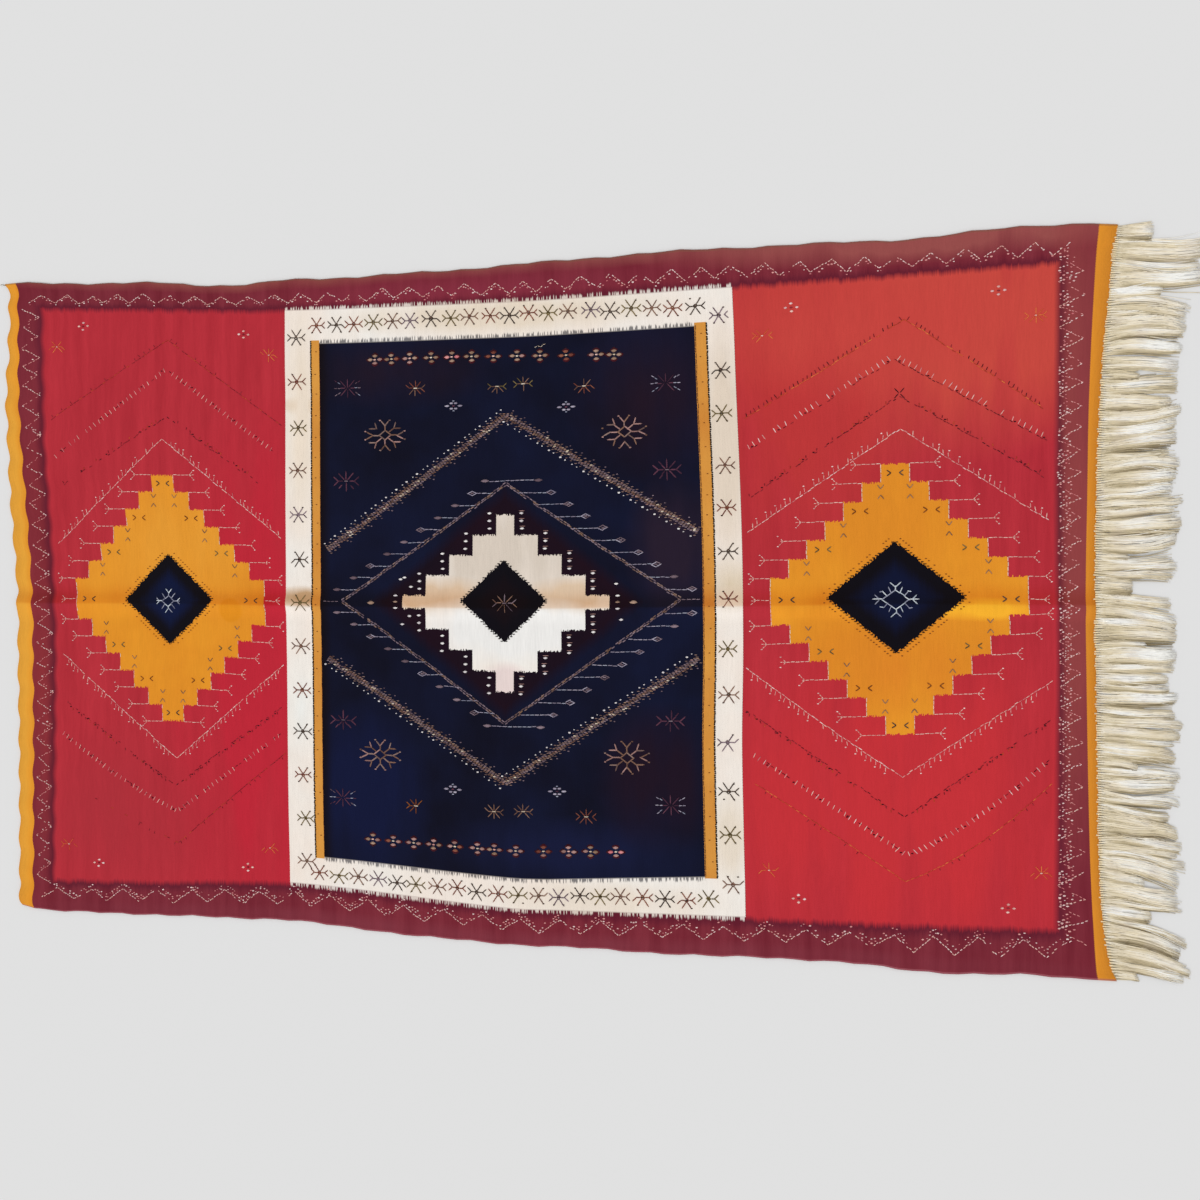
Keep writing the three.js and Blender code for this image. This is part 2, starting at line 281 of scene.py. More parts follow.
def bakeMapForCloth(piece):
    # Both faces of the cloth and its rim side by side, so that a bake holds the pattern sharply
    mesh = piece.data
    loopVertex = np.empty(len(mesh.loops), int)
    mesh.loops.foreach_get("vertex_index", loopVertex)
    loopStart = np.empty(len(mesh.polygons), int)
    mesh.polygons.foreach_get("loop_start", loopStart)
    weave = np.empty(len(mesh.loops) * 2)
    mesh.uv_layers["weave"].data.foreach_get("uv", weave)
    weave = weave.reshape(-1, 2) / mm
    s = weave[:, 0] / (2 * lie["halfLength"]) + 0.5
    t = weave[:, 1] / (2 * lie["halfWidth"]) + 0.5
    under = loopVertex >= topVertices
    faceUnder = np.add.reduceat(under.astype(int), loopStart)
    faceSize = np.diff(np.append(loopStart, len(mesh.loops)))
    kind = np.repeat(np.where(faceUnder == 0, 0, np.where(faceUnder == faceSize, 1, 2)), faceSize)
    margin, span, far = clothMap["margin"], clothMap["span"], 1 - clothMap["rimReach"]
    u = margin + span * s
    v = np.where(kind == 0, clothMap["topFrom"] + clothMap["topSpan"] * t, margin + clothMap["underSpan"] * t)
    faceS = np.repeat(np.add.reduceat(s, loopStart) / faceSize, faceSize)
    faceT = np.repeat(np.add.reduceat(t, loopStart) / faceSize, faceSize)
    strips = [(faceT > far, s), (faceT < 1 - far, s), (faceS > far, t), (faceS < 1 - far, t)]
    for k, (edge, run) in enumerate(strips):
        rim = (kind == 2) & edge
        u = np.where(rim, margin + span * run, u)
        v = np.where(rim, clothMap["rimFrom"] + clothMap["rimRow"] * k + clothMap["rimWidth"] * under, v)
    mesh.uv_layers.new(name="OFBake").data.foreach_set("uv", np.column_stack([u, v]).ravel())


bakeMapForCloth(wovenCloth)

# Weft-faced wool in flat dyed areas: matt, slightly ribbed, with abrash streaks along the weft
dye = {
    "dyes": {  # each dye's two shades, which drift into each other
        "madder": ("#b02c37", "#bb323d"), "maroon": ("#742431", "#802f3b"), "saffron": ("#ea9a2b", "#de8a26"),
        "ochre": ("#dd9c46", "#d0883a"), "ivory": ("#f3e5d9", "#f3eee7"), "indigo": ("#101020", "#131730"),
        "wine": ("#220e19", "#190c14")},
    # Patches laid over a dye, some of them painted light and shade of the fold: centre p and q, half length
    # and half width in mm, strength, colour
    "patches": {
        "madder": [(-560, -200, 330, 700, 0.8, "#bf2838"), (820, -420, 520, 420, 0.7, "#c73239"),
                   (880, 600, 500, 340, 0.95, "#c94940"), (640, 420, 260, 420, 0.6, "#be3738"),
                   (760, 560, 330, 160, 0.6, "#c8453f"), (-950, -520, 300, 230, 0.5, "#b0303a")],
        "maroon": [(-650, 757, 800, 36, 0.6, "#8e4945"), (880, 750, 640, 60, 0.8, "#984e4c"),
                   (1180, 180, 80, 760, 0.8, "#924243"), (-1150, -100, 90, 700, 0.5, "#8c3036"),
                   (200, 757, 700, 32, 0.6, "#8e4a48"), (-100, 700, 560, 46, 0.4, "#883042"),
                   (0, -740, 1500, 26, 0.25, "#853c48")],
        "saffron": [(-1216, 0, 26, 1400, 0.7, "#e8a43a"), (1216, 0, 26, 1700, 0.5, "#eea136"),
                    (-820, 130, 330, 190, 0.5, "#e69a33"), (823, 170, 330, 190, 0.6, "#df8b28"),
                    (823, -150, 300, 150, 0.5, "#df8628"), (1216, 0, 30, 1300, 0.9, "#e08f2e"),
                    # the second patch of this row is a painted highlight on the fold's lower side, the third
                    # a stain
                    (985, -22, 130, 26, 0.9, "#f5b02e"), (-658, -26, 33, 31, 2.2, "#e08d1f")],
        # (0, 120), (-165, 14), (150, 14), (-480, 8) and (480, 36) are painted shade on the fold's upper side,
        # (0, -60) a painted highlight below it and (-480, 448) a painted wrinkle shadow
        "ivory": [(0, 120, 240, 190, 0.8, "#d9ccbe"), (-165, 14, 160, 50, 0.8, "#dcc0a3"),
                  (150, 14, 150, 46, 0.8, "#dec4a8"), (-480, 8, 60, 28, 1.0, "#c5a580"),
                  (480, 36, 60, 66, 0.55, "#dccab0"), (-480, 448, 46, 24, 0.8, "#d5b996"),
                  (0, -60, 260, 80, 1.0, "#efedea"), (-5, -185, 70, 60, 0.9, "#e8d6d2"),
                  (-480, 420, 50, 330, 0.6, "#eedfcd"), (0, 640, 420, 50, 0.8, "#e8d9c6"),
                  (-480, -250, 60, 130, 0.6, "#f0efea"), (480, 330, 60, 300, 0.7, "#e4d4c2"),
                  (480, -500, 60, 120, 0.7, "#e9dccb"), (200, -645, 300, 50, 0.7, "#ecdfd0")],
        "indigo": [(-330, -440, 160, 220, 0.8, "#131838"), (330, 440, 200, 200, 0.4, "#221523"),
                   (-250, 520, 240, 90, 0.4, "#211624"), (120, -540, 330, 80, 0.6, "#161a38"),
                   (330, -380, 150, 170, 0.6, "#1f1322"), (370, 120, 120, 160, 0.7, "#271d2d")],
    },
    # Comb teeth of edges along the warp: a tooth's width, the share of picks that stay short, the shortest
    # long tooth and how much longer others are, and the play of the small teeth. Saw teeth are on edges
    # along the weft
    "pick": 1.9, "shortPicks": 0.45, "tooth": (1.5, 8), "smallTooth": 5, "saw": 1.65, "sawDepth": 0.8,
    "panels": {"middleP": 5, "halfP": 1136, "middleQ": -3, "halfQ": 672, "ragged": 7},
    "darkEdge": (4, 26), "softEdge": (-6, 7),  # out of the panels: the darker maroon, and the change of dye
    "yellowEnds": (6.5, 1198.5),  # middle and half length of what lies between them
    # Flat areas of the middle, painted over each other from the frame inwards: centre and half length
    # along p, centre and half width along q, comb teeth, dye
    "areas": [(-3.5, 511.5, -0.3, 667.7, 1, "ivory"), (-1, 451, -4, 601, 0, "ochre"),
              (-3, 428, -4, 612, 0, "ivory"), (-3, 428, -6, 596, 1, "indigo")],
    "narrower": (90, 430, 15.5),  # from p to p, how far the inner areas draw in along their lower edge
    "besideFrame": (-430, -404),  # the indigo is blackest at the first p, and no blacker from the second on
    "halo": (275, 315),  # how far out the wine ground round the white diamond begins to fade, and ends
    # the first rim, olive, is partly painted shade along the upper edge
    "rims": [(1.0, 745.5, 0.35, "#7a5a46"), (-1.0, 746.8, 0.55, "#a5626a")],  # side, from q, strength, colour
    # q of the fold's painted shade on its upper side and of its painted highlight on its lower side
    "fold": {"foldShade": (-15, -10), "fades": (-6, 40), "bright": -30, "brightReach": (4, 24)},
    "steppedDiamonds": [
        # centre p, q, half length, step in p, first step in q, other steps in q, reach in q, lean and tilt of
        # the lower half and of the upper, how the lower right quarter rises, dye
        (-820, -2, 250, 37, 48, 40, 286, (-0.026, 0), (-0.026, 0), -0.045, "saffron"),
        (825, -1, 260, 38.5, 46, 39, 279, (-0.03, 0.027), (0.006, 0), 0.03, "saffron"),
        (-6, 0, 232, 53, 15, 45, 195, (0, 0), (0.025, 0), 0, "ivory")],
    "plainDiamonds": [  # centre p, q, half length, half width, colour of the inner part
        (-820, -3, 116, 105, "#101a3e"), (823, 2, 140, 115, "#101736"), (-8, 4, 96, 90, "#160d12")],
}


def weftFacedWool():
    material, tree, shader = startMaterial("weft-faced dyed wool", 0.95, 0.015)
    weave = addNode(tree, "ShaderNodeUVMap", uv_map="weave")
    p = addNode(tree, "ShaderNodeSeparateXYZ", {0: weave})
    q = p.node.outputs["Y"]

    # Slow and streaky unevenness of the dye; streaks run along the weft
    noises = {}
    for name, scale, detail, low, high in (
            ("streaks", (38, 3.2, 1), 4.0, 0.34, 0.68), ("fine", (300, 26, 1), 3.0, 0.3, 0.72),
            ("clouds", (4.2, 4.2, 1), 3.0, 0.35, 0.66), ("bands", (11, 1.6, 1), 2.0, 0.36, 0.64)):
        mapped = addNode(tree, "ShaderNodeMapping", {0: weave, "Scale": scale})
        noise = addNode(tree, "ShaderNodeTexNoise", {
            "Vector": mapped, "Scale": 1.0, "Detail": detail, "Roughness": 0.58})
        noises[name] = addNode(tree, "ShaderNodeMapRange", {0: noise, 1: low, 2: high, 3: 0.0, 4: 1.0})

    # Picks of weft that reach past their neighbours give the comb teeth of the edges along the warp
    pick = addNode(tree, "ShaderNodeMath", {0: p, 1: dye["pick"] * mm}, operation="DIVIDE")
    pick = addNode(tree, "ShaderNodeMath", {0: pick}, operation="FLOOR")
    pickNoise = addNode(tree, "ShaderNodeTexWhiteNoise", {"W": pick}, noise_dimensions="1D")
    longer = addNode(tree, "ShaderNodeMath", {0: pickNoise, 1: dye["shortPicks"]}, operation="GREATER_THAN")
    toothLength = addNode(tree, "ShaderNodeMath", {
        0: pickNoise, 1: dye["tooth"][1] * mm, 2: dye["tooth"][0] * mm}, operation="MULTIPLY_ADD")
    comb = addNode(tree, "ShaderNodeMath", {0: longer, 1: toothLength}, operation="MULTIPLY")
    smallComb = addNode(tree, "ShaderNodeMath", {
        0: pickNoise, 1: dye["smallTooth"] * mm, 2: -dye["smallTooth"] / 2 * mm}, operation="MULTIPLY_ADD")
    saw = addNode(tree, "ShaderNodeMath", {0: q, 1: dye["saw"] * mm}, operation="PINGPONG")
    sawP = addNode(tree, "ShaderNodeMath", {0: saw, 1: dye["sawDepth"], 2: p}, operation="MULTIPLY_ADD")

    dyes = {}
    for name, (shade, otherShade) in dye["dyes"].items():
        drift = noises["streaks"] if name in ("madder", "maroon") else noises["clouds"]
        colour = addNode(tree, "ShaderNodeMix", {0: drift, 6: linear(shade), 7: linear(otherShade)},
                         **colourMix)
        for centreP, centreQ, halfP, halfQ, strength, patch in dye["patches"].get(name, ()):
            spot = addNode(tree, "ShaderNodeMapping", {
                0: weave, "Location": (centreP * mm, centreQ * mm, 0), "Scale": (halfP * mm, halfQ * mm, 1)},
                vector_type="TEXTURE")
            spot = addNode(tree, "ShaderNodeTexGradient", {0: spot}, output=1, gradient_type="SPHERICAL")
            uneven = addNode(tree, "ShaderNodeMapRange",
                             {0: noises["bands"], 3: 1.3 * strength, 4: 2.9 * strength})
            spot = addNode(tree, "ShaderNodeMath", {0: spot, 1: uneven}, operation="MULTIPLY", use_clamp=True)
            colour = addNode(tree, "ShaderNodeMix", {0: spot, 6: colour, 7: linear(patch)}, **colourMix)
        dyes[name] = colour

    # Red panels in a maroon border: soft edges, with the maroon darker and more purple close to the red
    panels = {name: size * mm for name, size in dye["panels"].items()}
    frameMiddle, frameHalf = dye["areas"][0][:2]
    frameP = addNode(tree, "ShaderNodeMath", {0: p, 1: frameMiddle * mm, 2: frameHalf * mm},
                     operation="COMPARE")
    fromMiddle = addNode(tree, "ShaderNodeMath", {0: q, 1: -panels["middleQ"]}, operation="ADD")
    fromMiddle = addNode(tree, "ShaderNodeMath", {0: fromMiddle}, operation="ABSOLUTE")
    ragged = addNode(tree, "ShaderNodeMath", {
        0: noises["streaks"], 1: panels["ragged"], 2: fromMiddle}, operation="MULTIPLY_ADD")
    ragged = addNode(tree, "ShaderNodeMath", {0: ragged, 1: smallComb}, operation="ADD")
    outQ = addNode(tree, "ShaderNodeMath", {0: ragged, 1: panels["halfQ"]}, operation="SUBTRACT")
    outP = addNode(tree, "ShaderNodeMath", {0: sawP, 1: panels["middleP"]}, operation="SUBTRACT")
    outP = addNode(tree, "ShaderNodeMath", {0: outP}, operation="ABSOLUTE")
    outP = addNode(tree, "ShaderNodeMath", {0: outP, 1: panels["halfP"]}, operation="SUBTRACT")
    outside = addNode(tree, "ShaderNodeMath", {0: outQ, 1: outP}, operation="MAXIMUM")
    near, far = dye["darkEdge"]
    dark = addNode(tree, "ShaderNodeMapRange", {0: outside, 1: near * mm, 2: far * mm, 3: 0.75, 4: 0.0},
                   **softStep)
    ground = addNode(tree, "ShaderNodeMix", {0: dark, 6: dyes["maroon"], 7: linear("#5c1a2c")}, **colourMix)
    near, far = dye["softEdge"]
    panel = addNode(tree, "ShaderNodeMapRange", {0: outside, 1: near * mm, 2: far * mm, 3: 1.0, 4: 0.0})
    panel = addNode(tree, "ShaderNodeMath", {0: panel, 1: frameP}, operation="SUBTRACT", use_clamp=True)
    ground = addNode(tree, "ShaderNodeMix", {0: panel, 6: ground, 7: dyes["madder"]}, **colourMix)
    endsMiddle, endsHalf = dye["yellowEnds"]
    ends = addNode(tree, "ShaderNodeMath", {0: sawP, 1: endsMiddle * mm, 2: endsHalf * mm},
                   operation="COMPARE")
    ground = addNode(tree, "ShaderNodeMix", {0: ends, 6: dyes["saffron"], 7: ground}, **colourMix)

    # The indigo is blacker close beside the frame's left column
    near, far = dye["besideFrame"]
    beside = addNode(tree, "ShaderNodeMapRange", {0: p, 1: near * mm, 2: far * mm, 3: 0.85, 4: 0.0},
                     **softStep)
    dyes["indigo"] = addNode(tree, "ShaderNodeMix", {0: beside, 6: dyes["indigo"], 7: linear("#130c0f")},
                             **colourMix)

    start, stop, most = (size * mm for size in dye["narrower"])
    narrower = addNode(tree, "ShaderNodeMapRange", {0: p, 1: start, 2: stop, 3: 0.0, 4: most})
    below = addNode(tree, "ShaderNodeMath", {0: q, 1: 0.0}, operation="LESS_THAN")
    narrower = addNode(tree, "ShaderNodeMath", {0: narrower, 1: below}, operation="MULTIPLY")
    for number, (centre, half, middle, halfQ, teeth, name) in enumerate(dye["areas"]):
        reach = addNode(tree, "ShaderNodeMath", {0: comb, 1: float(teeth), 2: halfQ * mm},
                        operation="MULTIPLY_ADD")
        away = addNode(tree, "ShaderNodeMath", {0: q, 1: middle * mm}, operation="SUBTRACT")
        away = addNode(tree, "ShaderNodeMath", {0: away}, operation="ABSOLUTE")
        if number > 0:  # all but the frame itself
            away = addNode(tree, "ShaderNodeMath", {0: away, 1: narrower}, operation="ADD")
        rows = addNode(tree, "ShaderNodeMath", {0: reach, 1: away}, operation="SUBTRACT")
        blur = (2 * teeth + 0.2) * mm
        rows = addNode(tree, "ShaderNodeMapRange", {
            0: rows, 1: -blur, 2: blur, 3: 0.0, 4: 1.0 - 0.25 * teeth})
        solid = addNode(tree, "ShaderNodeMapRange", {
            0: away, 1: (halfQ + 2 * teeth) * mm, 2: (halfQ - 1.5 * teeth - 0.2) * mm, 3: 0.0, 4: 1.0})
        rows = addNode(tree, "ShaderNodeMath", {0: rows, 1: solid}, operation="MAXIMUM")
        columns = addNode(tree, "ShaderNodeMath", {0: sawP, 1: centre * mm, 2: half * mm},
                          operation="COMPARE")
        area = addNode(tree, "ShaderNodeMath", {0: rows, 1: columns}, operation="MULTIPLY")
        ground = addNode(tree, "ShaderNodeMix", {0: area, 6: ground, 7: dyes[name]}, **colourMix)
    for diamond in dye["steppedDiamonds"]:
        centre, middle, half, stepP, firstQ, stepQ, reachQ, lower, upper, rise, name = diamond
        sideways = addNode(tree, "ShaderNodeMath", {0: sawP, 1: centre * mm}, operation="SUBTRACT")
        upward = addNode(tree, "ShaderNodeMath", {0: q, 1: middle * mm}, operation="SUBTRACT")
        low = addNode(tree, "ShaderNodeMath", {0: upward, 1: 0.0}, operation="LESS_THAN")
        lean, tilt = [
            addNode(tree, "ShaderNodeMath", {0: low, 1: above - below, 2: -above}, operation="MULTIPLY_ADD")
            for below, above in zip(lower, upper)]
        upright = addNode(tree, "ShaderNodeMath", {0: sideways, 1: tilt, 2: upward}, operation="MULTIPLY_ADD")
        sideways = addNode(tree, "ShaderNodeMath", {0: upward, 1: lean, 2: sideways},
                           operation="MULTIPLY_ADD")
        away = addNode(tree, "ShaderNodeMath", {0: upright}, operation="ABSOLUTE")
        away = addNode(tree, "ShaderNodeMath", {0: away, 1: smallComb}, operation="ADD")
        if rise:
            corner = addNode(tree, "ShaderNodeMath", {0: sideways, 1: 0.0}, operation="MAXIMUM")
            low = addNode(tree, "ShaderNodeMath", {0: low, 1: rise}, operation="MULTIPLY")
            away = addNode(tree, "ShaderNodeMath", {0: corner, 1: low, 2: away}, operation="MULTIPLY_ADD")
        sideways = addNode(tree, "ShaderNodeMath", {0: sideways}, operation="ABSOLUTE")
        if name == "ivory":  # the ground is wine red close round the white diamond
            halo = addNode(tree, "ShaderNodeMath", {0: away, 1: 1.2, 2: sideways}, operation="MULTIPLY_ADD")
            near, far = dye["halo"]
            halo = addNode(tree, "ShaderNodeMapRange", {0: halo, 1: near * mm, 2: far * mm, 3: 0.85, 4: 0.0})
            ground = addNode(tree, "ShaderNodeMix", {0: halo, 6: ground, 7: dyes["wine"]}, **colourMix)
        count = addNode(tree, "ShaderNodeMath", {0: away, 1: firstQ * mm}, operation="SUBTRACT")
        count = addNode(tree, "ShaderNodeMath", {0: count, 1: stepQ * mm}, operation="DIVIDE")
        count = addNode(tree, "ShaderNodeMath", {0: count}, operation="CEIL")
        count = addNode(tree, "ShaderNodeMath", {0: count, 1: 0.0}, operation="MAXIMUM")
        reach = addNode(tree, "ShaderNodeMath", {0: count, 1: -stepP * mm, 2: half * mm},
                        operation="MULTIPLY_ADD")
        within = addNode(tree, "ShaderNodeMath", {0: sideways, 1: reach}, operation="LESS_THAN")
        below = addNode(tree, "ShaderNodeMath", {0: away, 1: reachQ * mm}, operation="LESS_THAN")
        area = addNode(tree, "ShaderNodeMath", {0: within, 1: below}, operation="MULTIPLY")
        ground = addNode(tree, "ShaderNodeMix", {0: area, 6: ground, 7: dyes[name]}, **colourMix)
    for centre, middle, half, halfQ, middleDye in dye["plainDiamonds"]:
        sideways = addNode(tree, "ShaderNodeMath", {0: p, 1: centre * mm}, operation="SUBTRACT")
        sideways = addNode(tree, "ShaderNodeMath", {0: sideways}, operation="ABSOLUTE")
        sideways = addNode(tree, "ShaderNodeMath", {0: sideways, 1: half * mm}, operation="DIVIDE")
        away = addNode(tree, "ShaderNodeMath", {0: q, 1: middle * mm}, operation="SUBTRACT")
        away = addNode(tree, "ShaderNodeMath", {0: away}, operation="ABSOLUTE")
        away = addNode(tree, "ShaderNodeMath", {0: away, 1: smallComb}, operation="ADD")
        away = addNode(tree, "ShaderNodeMath", {0: away, 1: halfQ * mm}, operation="DIVIDE")
        total = addNode(tree, "ShaderNodeMath", {0: away, 1: sideways}, operation="ADD")
        area = addNode(tree, "ShaderNodeMath", {0: total, 1: 1.0}, operation="LESS_THAN")
        inner = addNode(tree, "ShaderNodeMapRange", {0: total, 1: 0.4, 2: 0.8, 3: 0.8, 4: 0.0}, **softStep)
        night = {0: inner, 6: linear("#100d14"), 7: linear(middleDye)}
        night = addNode(tree, "ShaderNodeMix", night, **colourMix)
        ground = addNode(tree, "ShaderNodeMix", {0: area, 6: ground, 7: night}, **colourMix)

    # Rims: olive and dusty pink selvedge yarns; the olive one along the upper edge is partly painted shade of
    # the rolled edge
    for side, inset, strength, colour in dye["rims"]:
        rim = addNode(tree, "ShaderNodeMath", {0: q, 1: side}, operation="MULTIPLY")
        rim = addNode(tree, "ShaderNodeMath", {0: rim, 1: inset * mm}, operation="GREATER_THAN")
        rim = addNode(tree, "ShaderNodeMath", {0: rim, 1: strength}, operation="MULTIPLY")
        ground = addNode(tree, "ShaderNodeMix", {0: rim, 6: ground, 7: linear(colour)}, **colourMix)

    # The old fold: painted shade in brown on its upper side, and a painted highlight on its lower side
    fold = dye["fold"]
    near, far = fold["foldShade"]
    foldShade = addNode(tree, "ShaderNodeMapRange", {0: q, 1: near * mm, 2: far * mm, 3: 0.0, 4: 1.0})
    near, far = fold["fades"]
    faded = addNode(tree, "ShaderNodeMapRange", {0: q, 1: near * mm, 2: far * mm, 3: 1.0, 4: 0.0}, **softStep)
    foldShade = addNode(tree, "ShaderNodeMath", {0: foldShade, 1: faded}, operation="MULTIPLY")
    patchy = addNode(tree, "ShaderNodeMapRange", {0: noises["clouds"], 3: 0.4, 4: 0.9})
    foldShade = addNode(tree, "ShaderNodeMath", {0: foldShade, 1: patchy}, operation="MULTIPLY")
    ground = addNode(tree, "ShaderNodeMix", {0: foldShade, 6: ground, 7: linear("#efd3b8")}, **colourMix,
                     blend_type="MULTIPLY")
    # painted highlight below the fold: the colour is lifted by up to 5 %
    bright = addNode(tree, "ShaderNodeMath", {0: q, 1: fold["bright"] * mm}, operation="SUBTRACT")
    bright = addNode(tree, "ShaderNodeMath", {0: bright}, operation="ABSOLUTE")
    near, far = fold["brightReach"]
    bright = addNode(tree, "ShaderNodeMapRange", {0: bright, 1: near * mm, 2: far * mm, 3: 1.05, 4: 1.0},
                     **softStep)

    # Yarn-to-yarn tone
    tone = addNode(tree, "ShaderNodeMapRange", {0: noises["fine"], 3: 0.955, 4: 1.04})
    shade = addNode(tree, "ShaderNodeMapRange", {0: noises["streaks"], 3: 0.975, 4: 1.02})
    tone = addNode(tree, "ShaderNodeMath", {0: tone, 1: shade}, operation="MULTIPLY")
    tone = addNode(tree, "ShaderNodeMath", {0: tone, 1: bright}, operation="MULTIPLY")
    colour = addNode(tree, "ShaderNodeHueSaturation", {"Value": tone, "Color": ground})
    tree.links.new(colour, shader.inputs["Base Color"])

    # Rice-grain weft over the ribs; the real picks are 1.2 mm apart, drawn at 1.6 mm so that they show
    # close up
    grainMap = addNode(tree, "ShaderNodeMapping", {0: weave, "Scale": (620, 190, 1)})
    grain = addNode(tree, "ShaderNodeTexNoise", {
        "Vector": grainMap, "Scale": 1.0, "Detail": 2.0, "Roughness": 0.5})
    bump = addNode(tree, "ShaderNodeBump", {"Height": grain, "Strength": 0.5, "Distance": 0.0009})
    tree.links.new(bump, shader.inputs["Normal"])
    return material


wovenCloth.data.materials.append(weftFacedWool())
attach(wovenCloth, "root")
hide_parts("rug_cloth")
print("weft-faced wool on the cloth")

# Raised yarns: one soft three-sided stitch is modelled once, and every stitch of the pattern is a copy of it
stitchShape = {"sections": ((0.22, 5.5), (0.56, 1.0), (0.22, 0.2)), "sunk": 0.15, "rise": 0.5, "highest": 1.5,
               "flatRise": 0.3, "broad": 5, "lozengeEnds": 0.4, "foot": 0.25, "footShare": 0.15}
bpy.ops.object.select_all(action="DESELECT")
bpy.ops.mesh.primitive_circle_add(vertices=3, radius=0.1, fill_type="NGON", rotation=(0, math.pi / 2, 0))
stitchMaster = bpy.context.object
stitchMaster.name = "stitchMaster"
bpy.ops.object.transform_apply(location=True, rotation=True, scale=True)
bpy.ops.object.mode_set(mode="EDIT")
bpy.ops.mesh.select_all(action="SELECT")
for reach, scale in stitchShape["sections"]:
    bpy.ops.mesh.extrude_region_move(TRANSFORM_OT_translate={"value": (reach, 0, 0)})
    bpy.ops.transform.resize(value=(1, scale, scale))
bpy.ops.object.mode_set(mode="OBJECT")
masterPoints = np.array([tuple(v.co) for v in stitchMaster.data.vertices])
masterFaces = [list(f.vertices) for f in stitchMaster.data.polygons]
stitchAlong = masterPoints[:, 0]
stitchAcross = -masterPoints[:, 2] / (2 * np.abs(masterPoints[:, 2]).max())
stitchUp = (masterPoints[:, 1] - masterPoints[:, 1].min()) / np.ptp(masterPoints[:, 1])
bpy.data.objects.remove(stitchMaster, do_unlink=True)


def sideMap(faces, rings):
    # Corner places in a unit square for a three-sided tube: its sides stand side by side
    places = []
    for face in faces:
        if len(face) == 3:
            end = 0.0 if face[0] < 3 else 0.96
            places += [(0.1, end), (0.9, end), (0.5, end + 0.04)]
            continue
        corners = sorted({v % 3 for v in face})
        side = 2 if corners == [0, 2] else corners[0]
        first = 2 if side == 2 else corners[0]
        for v in face:
            places.append((side / 3 + (0.03 if v % 3 == first else 0.3), 0.06 + 0.88 * (v // 3) / rings))
    return np.array(places)


def joinedCopies(name, points, faces, cornerPlaces, cells, dyed, material):
    # One mesh from many copies: points is copies x corners x 3 in mm, and cells says in how many columns and
    # rows they share the bake map
    copies, count = points.shape[:2]
    sizes = np.array([len(face) for face in faces])
    flat = np.concatenate(faces)
    mesh = bpy.data.meshes.new(name)
    mesh.vertices.add(copies * count)
    mesh.vertices.foreach_set("co", (points.reshape(-1, 3) * mm).ravel())
    mesh.loops.add(copies * len(flat))
    mesh.loops.foreach_set("vertex_index", (flat[None, :] + count * np.arange(copies)[:, None]).ravel())
    mesh.polygons.add(copies * len(faces))
    allSizes = np.tile(sizes, copies)
    mesh.polygons.foreach_set("loop_start", np.concatenate([[0], np.cumsum(allSizes)[:-1]]))
    mesh.polygons.foreach_set("loop_total", allSizes)
    columns, rows = cells
    number = np.arange(copies)
    corner = np.column_stack([number % columns, number // columns])
    uv = (corner[:, None, :] + 0.06 + 0.88 * cornerPlaces[None, :, :]) / np.array([columns, rows])
    mesh.update(calc_edges=True)
    mesh.uv_layers.new(name="OFBake").data.foreach_set("uv", uv.ravel())
    colours = mesh.attributes.new("dyed", "FLOAT_VECTOR", "POINT")
    colours.data.foreach_set("vector", np.broadcast_to(dyed, (copies, count, 3)).ravel().astype(np.float32))
    mesh.validate()
    piece = bpy.data.objects.new(name, mesh)
    bpy.context.scene.collection.objects.link(piece)
    mesh.materials.append(material)
    bpy.ops.object.select_all(action="DESELECT")
    piece.select_set(True)
    bpy.context.view_layer.objects.active = piece
    bpy.ops.object.shade_smooth()
    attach(piece, "root")
    return piece


stitches = []


def stitch(yarn, p0, q0, p1, q1, width=2.2, flat=False):
    if isinstance(yarn, tuple):
        yarn = yarn[int(random.integers(len(yarn)))]
    height = stitchShape["flatRise"] if flat else min(stitchShape["rise"] * width, stitchShape["highest"])
    stitches.append((yarnDyes.index(yarn), p0, q0, p1, q1, width, height))


def dot(yarn, p, q, length=4.5, width=3.2, flat=False):
    stitch(yarn, p - length / 2, q, p + length / 2, q, width, flat)


def run(yarn, points, length=8, width=1.9, gap=0.12, keep=1.0, loose=0.5):
    # A row of stitches end to end along a line, some left out where the yarn has worn away
    for (pa, qa), (pb, qb) in zip(points, points[1:]):
        count = max(1, round(math.hypot(pb - pa, qb - qa) / length))
        for k in range(count):
            shift = random.normal(0, loose, 2)
            if random.random() > keep:
                continue
            t0, t1 = (k + gap / 2) / count, (k + 1 - gap / 2) / count
            stitch(yarn, pa + (pb - pa) * t0 + shift[0], qa + (qb - qa) * t0 + shift[1],
                   pa + (pb - pa) * t1 + shift[0], qa + (qb - qa) * t1 + shift[1], width)


def fourWays(yarn, p, q, strokes, scale=1.0, width=1.9, keep=1.0, length=13):
    # Strokes of one quarter, repeated in all four
    for pa, qa, pb, qb in strokes:
        for sp in (1, -1):
            for sq in (1, -1):
                if (sp < 0 and pa == pb == 0) or (sq < 0 and qa == qb == 0):
                    continue
                start = (p + sp * pa * scale, q + sq * qa * scale)
                stop = (p + sp * pb * scale, q + sq * qb * scale)
                run(yarn, [start, stop], length, width, gap=-0.25, keep=keep, loose=0.5)


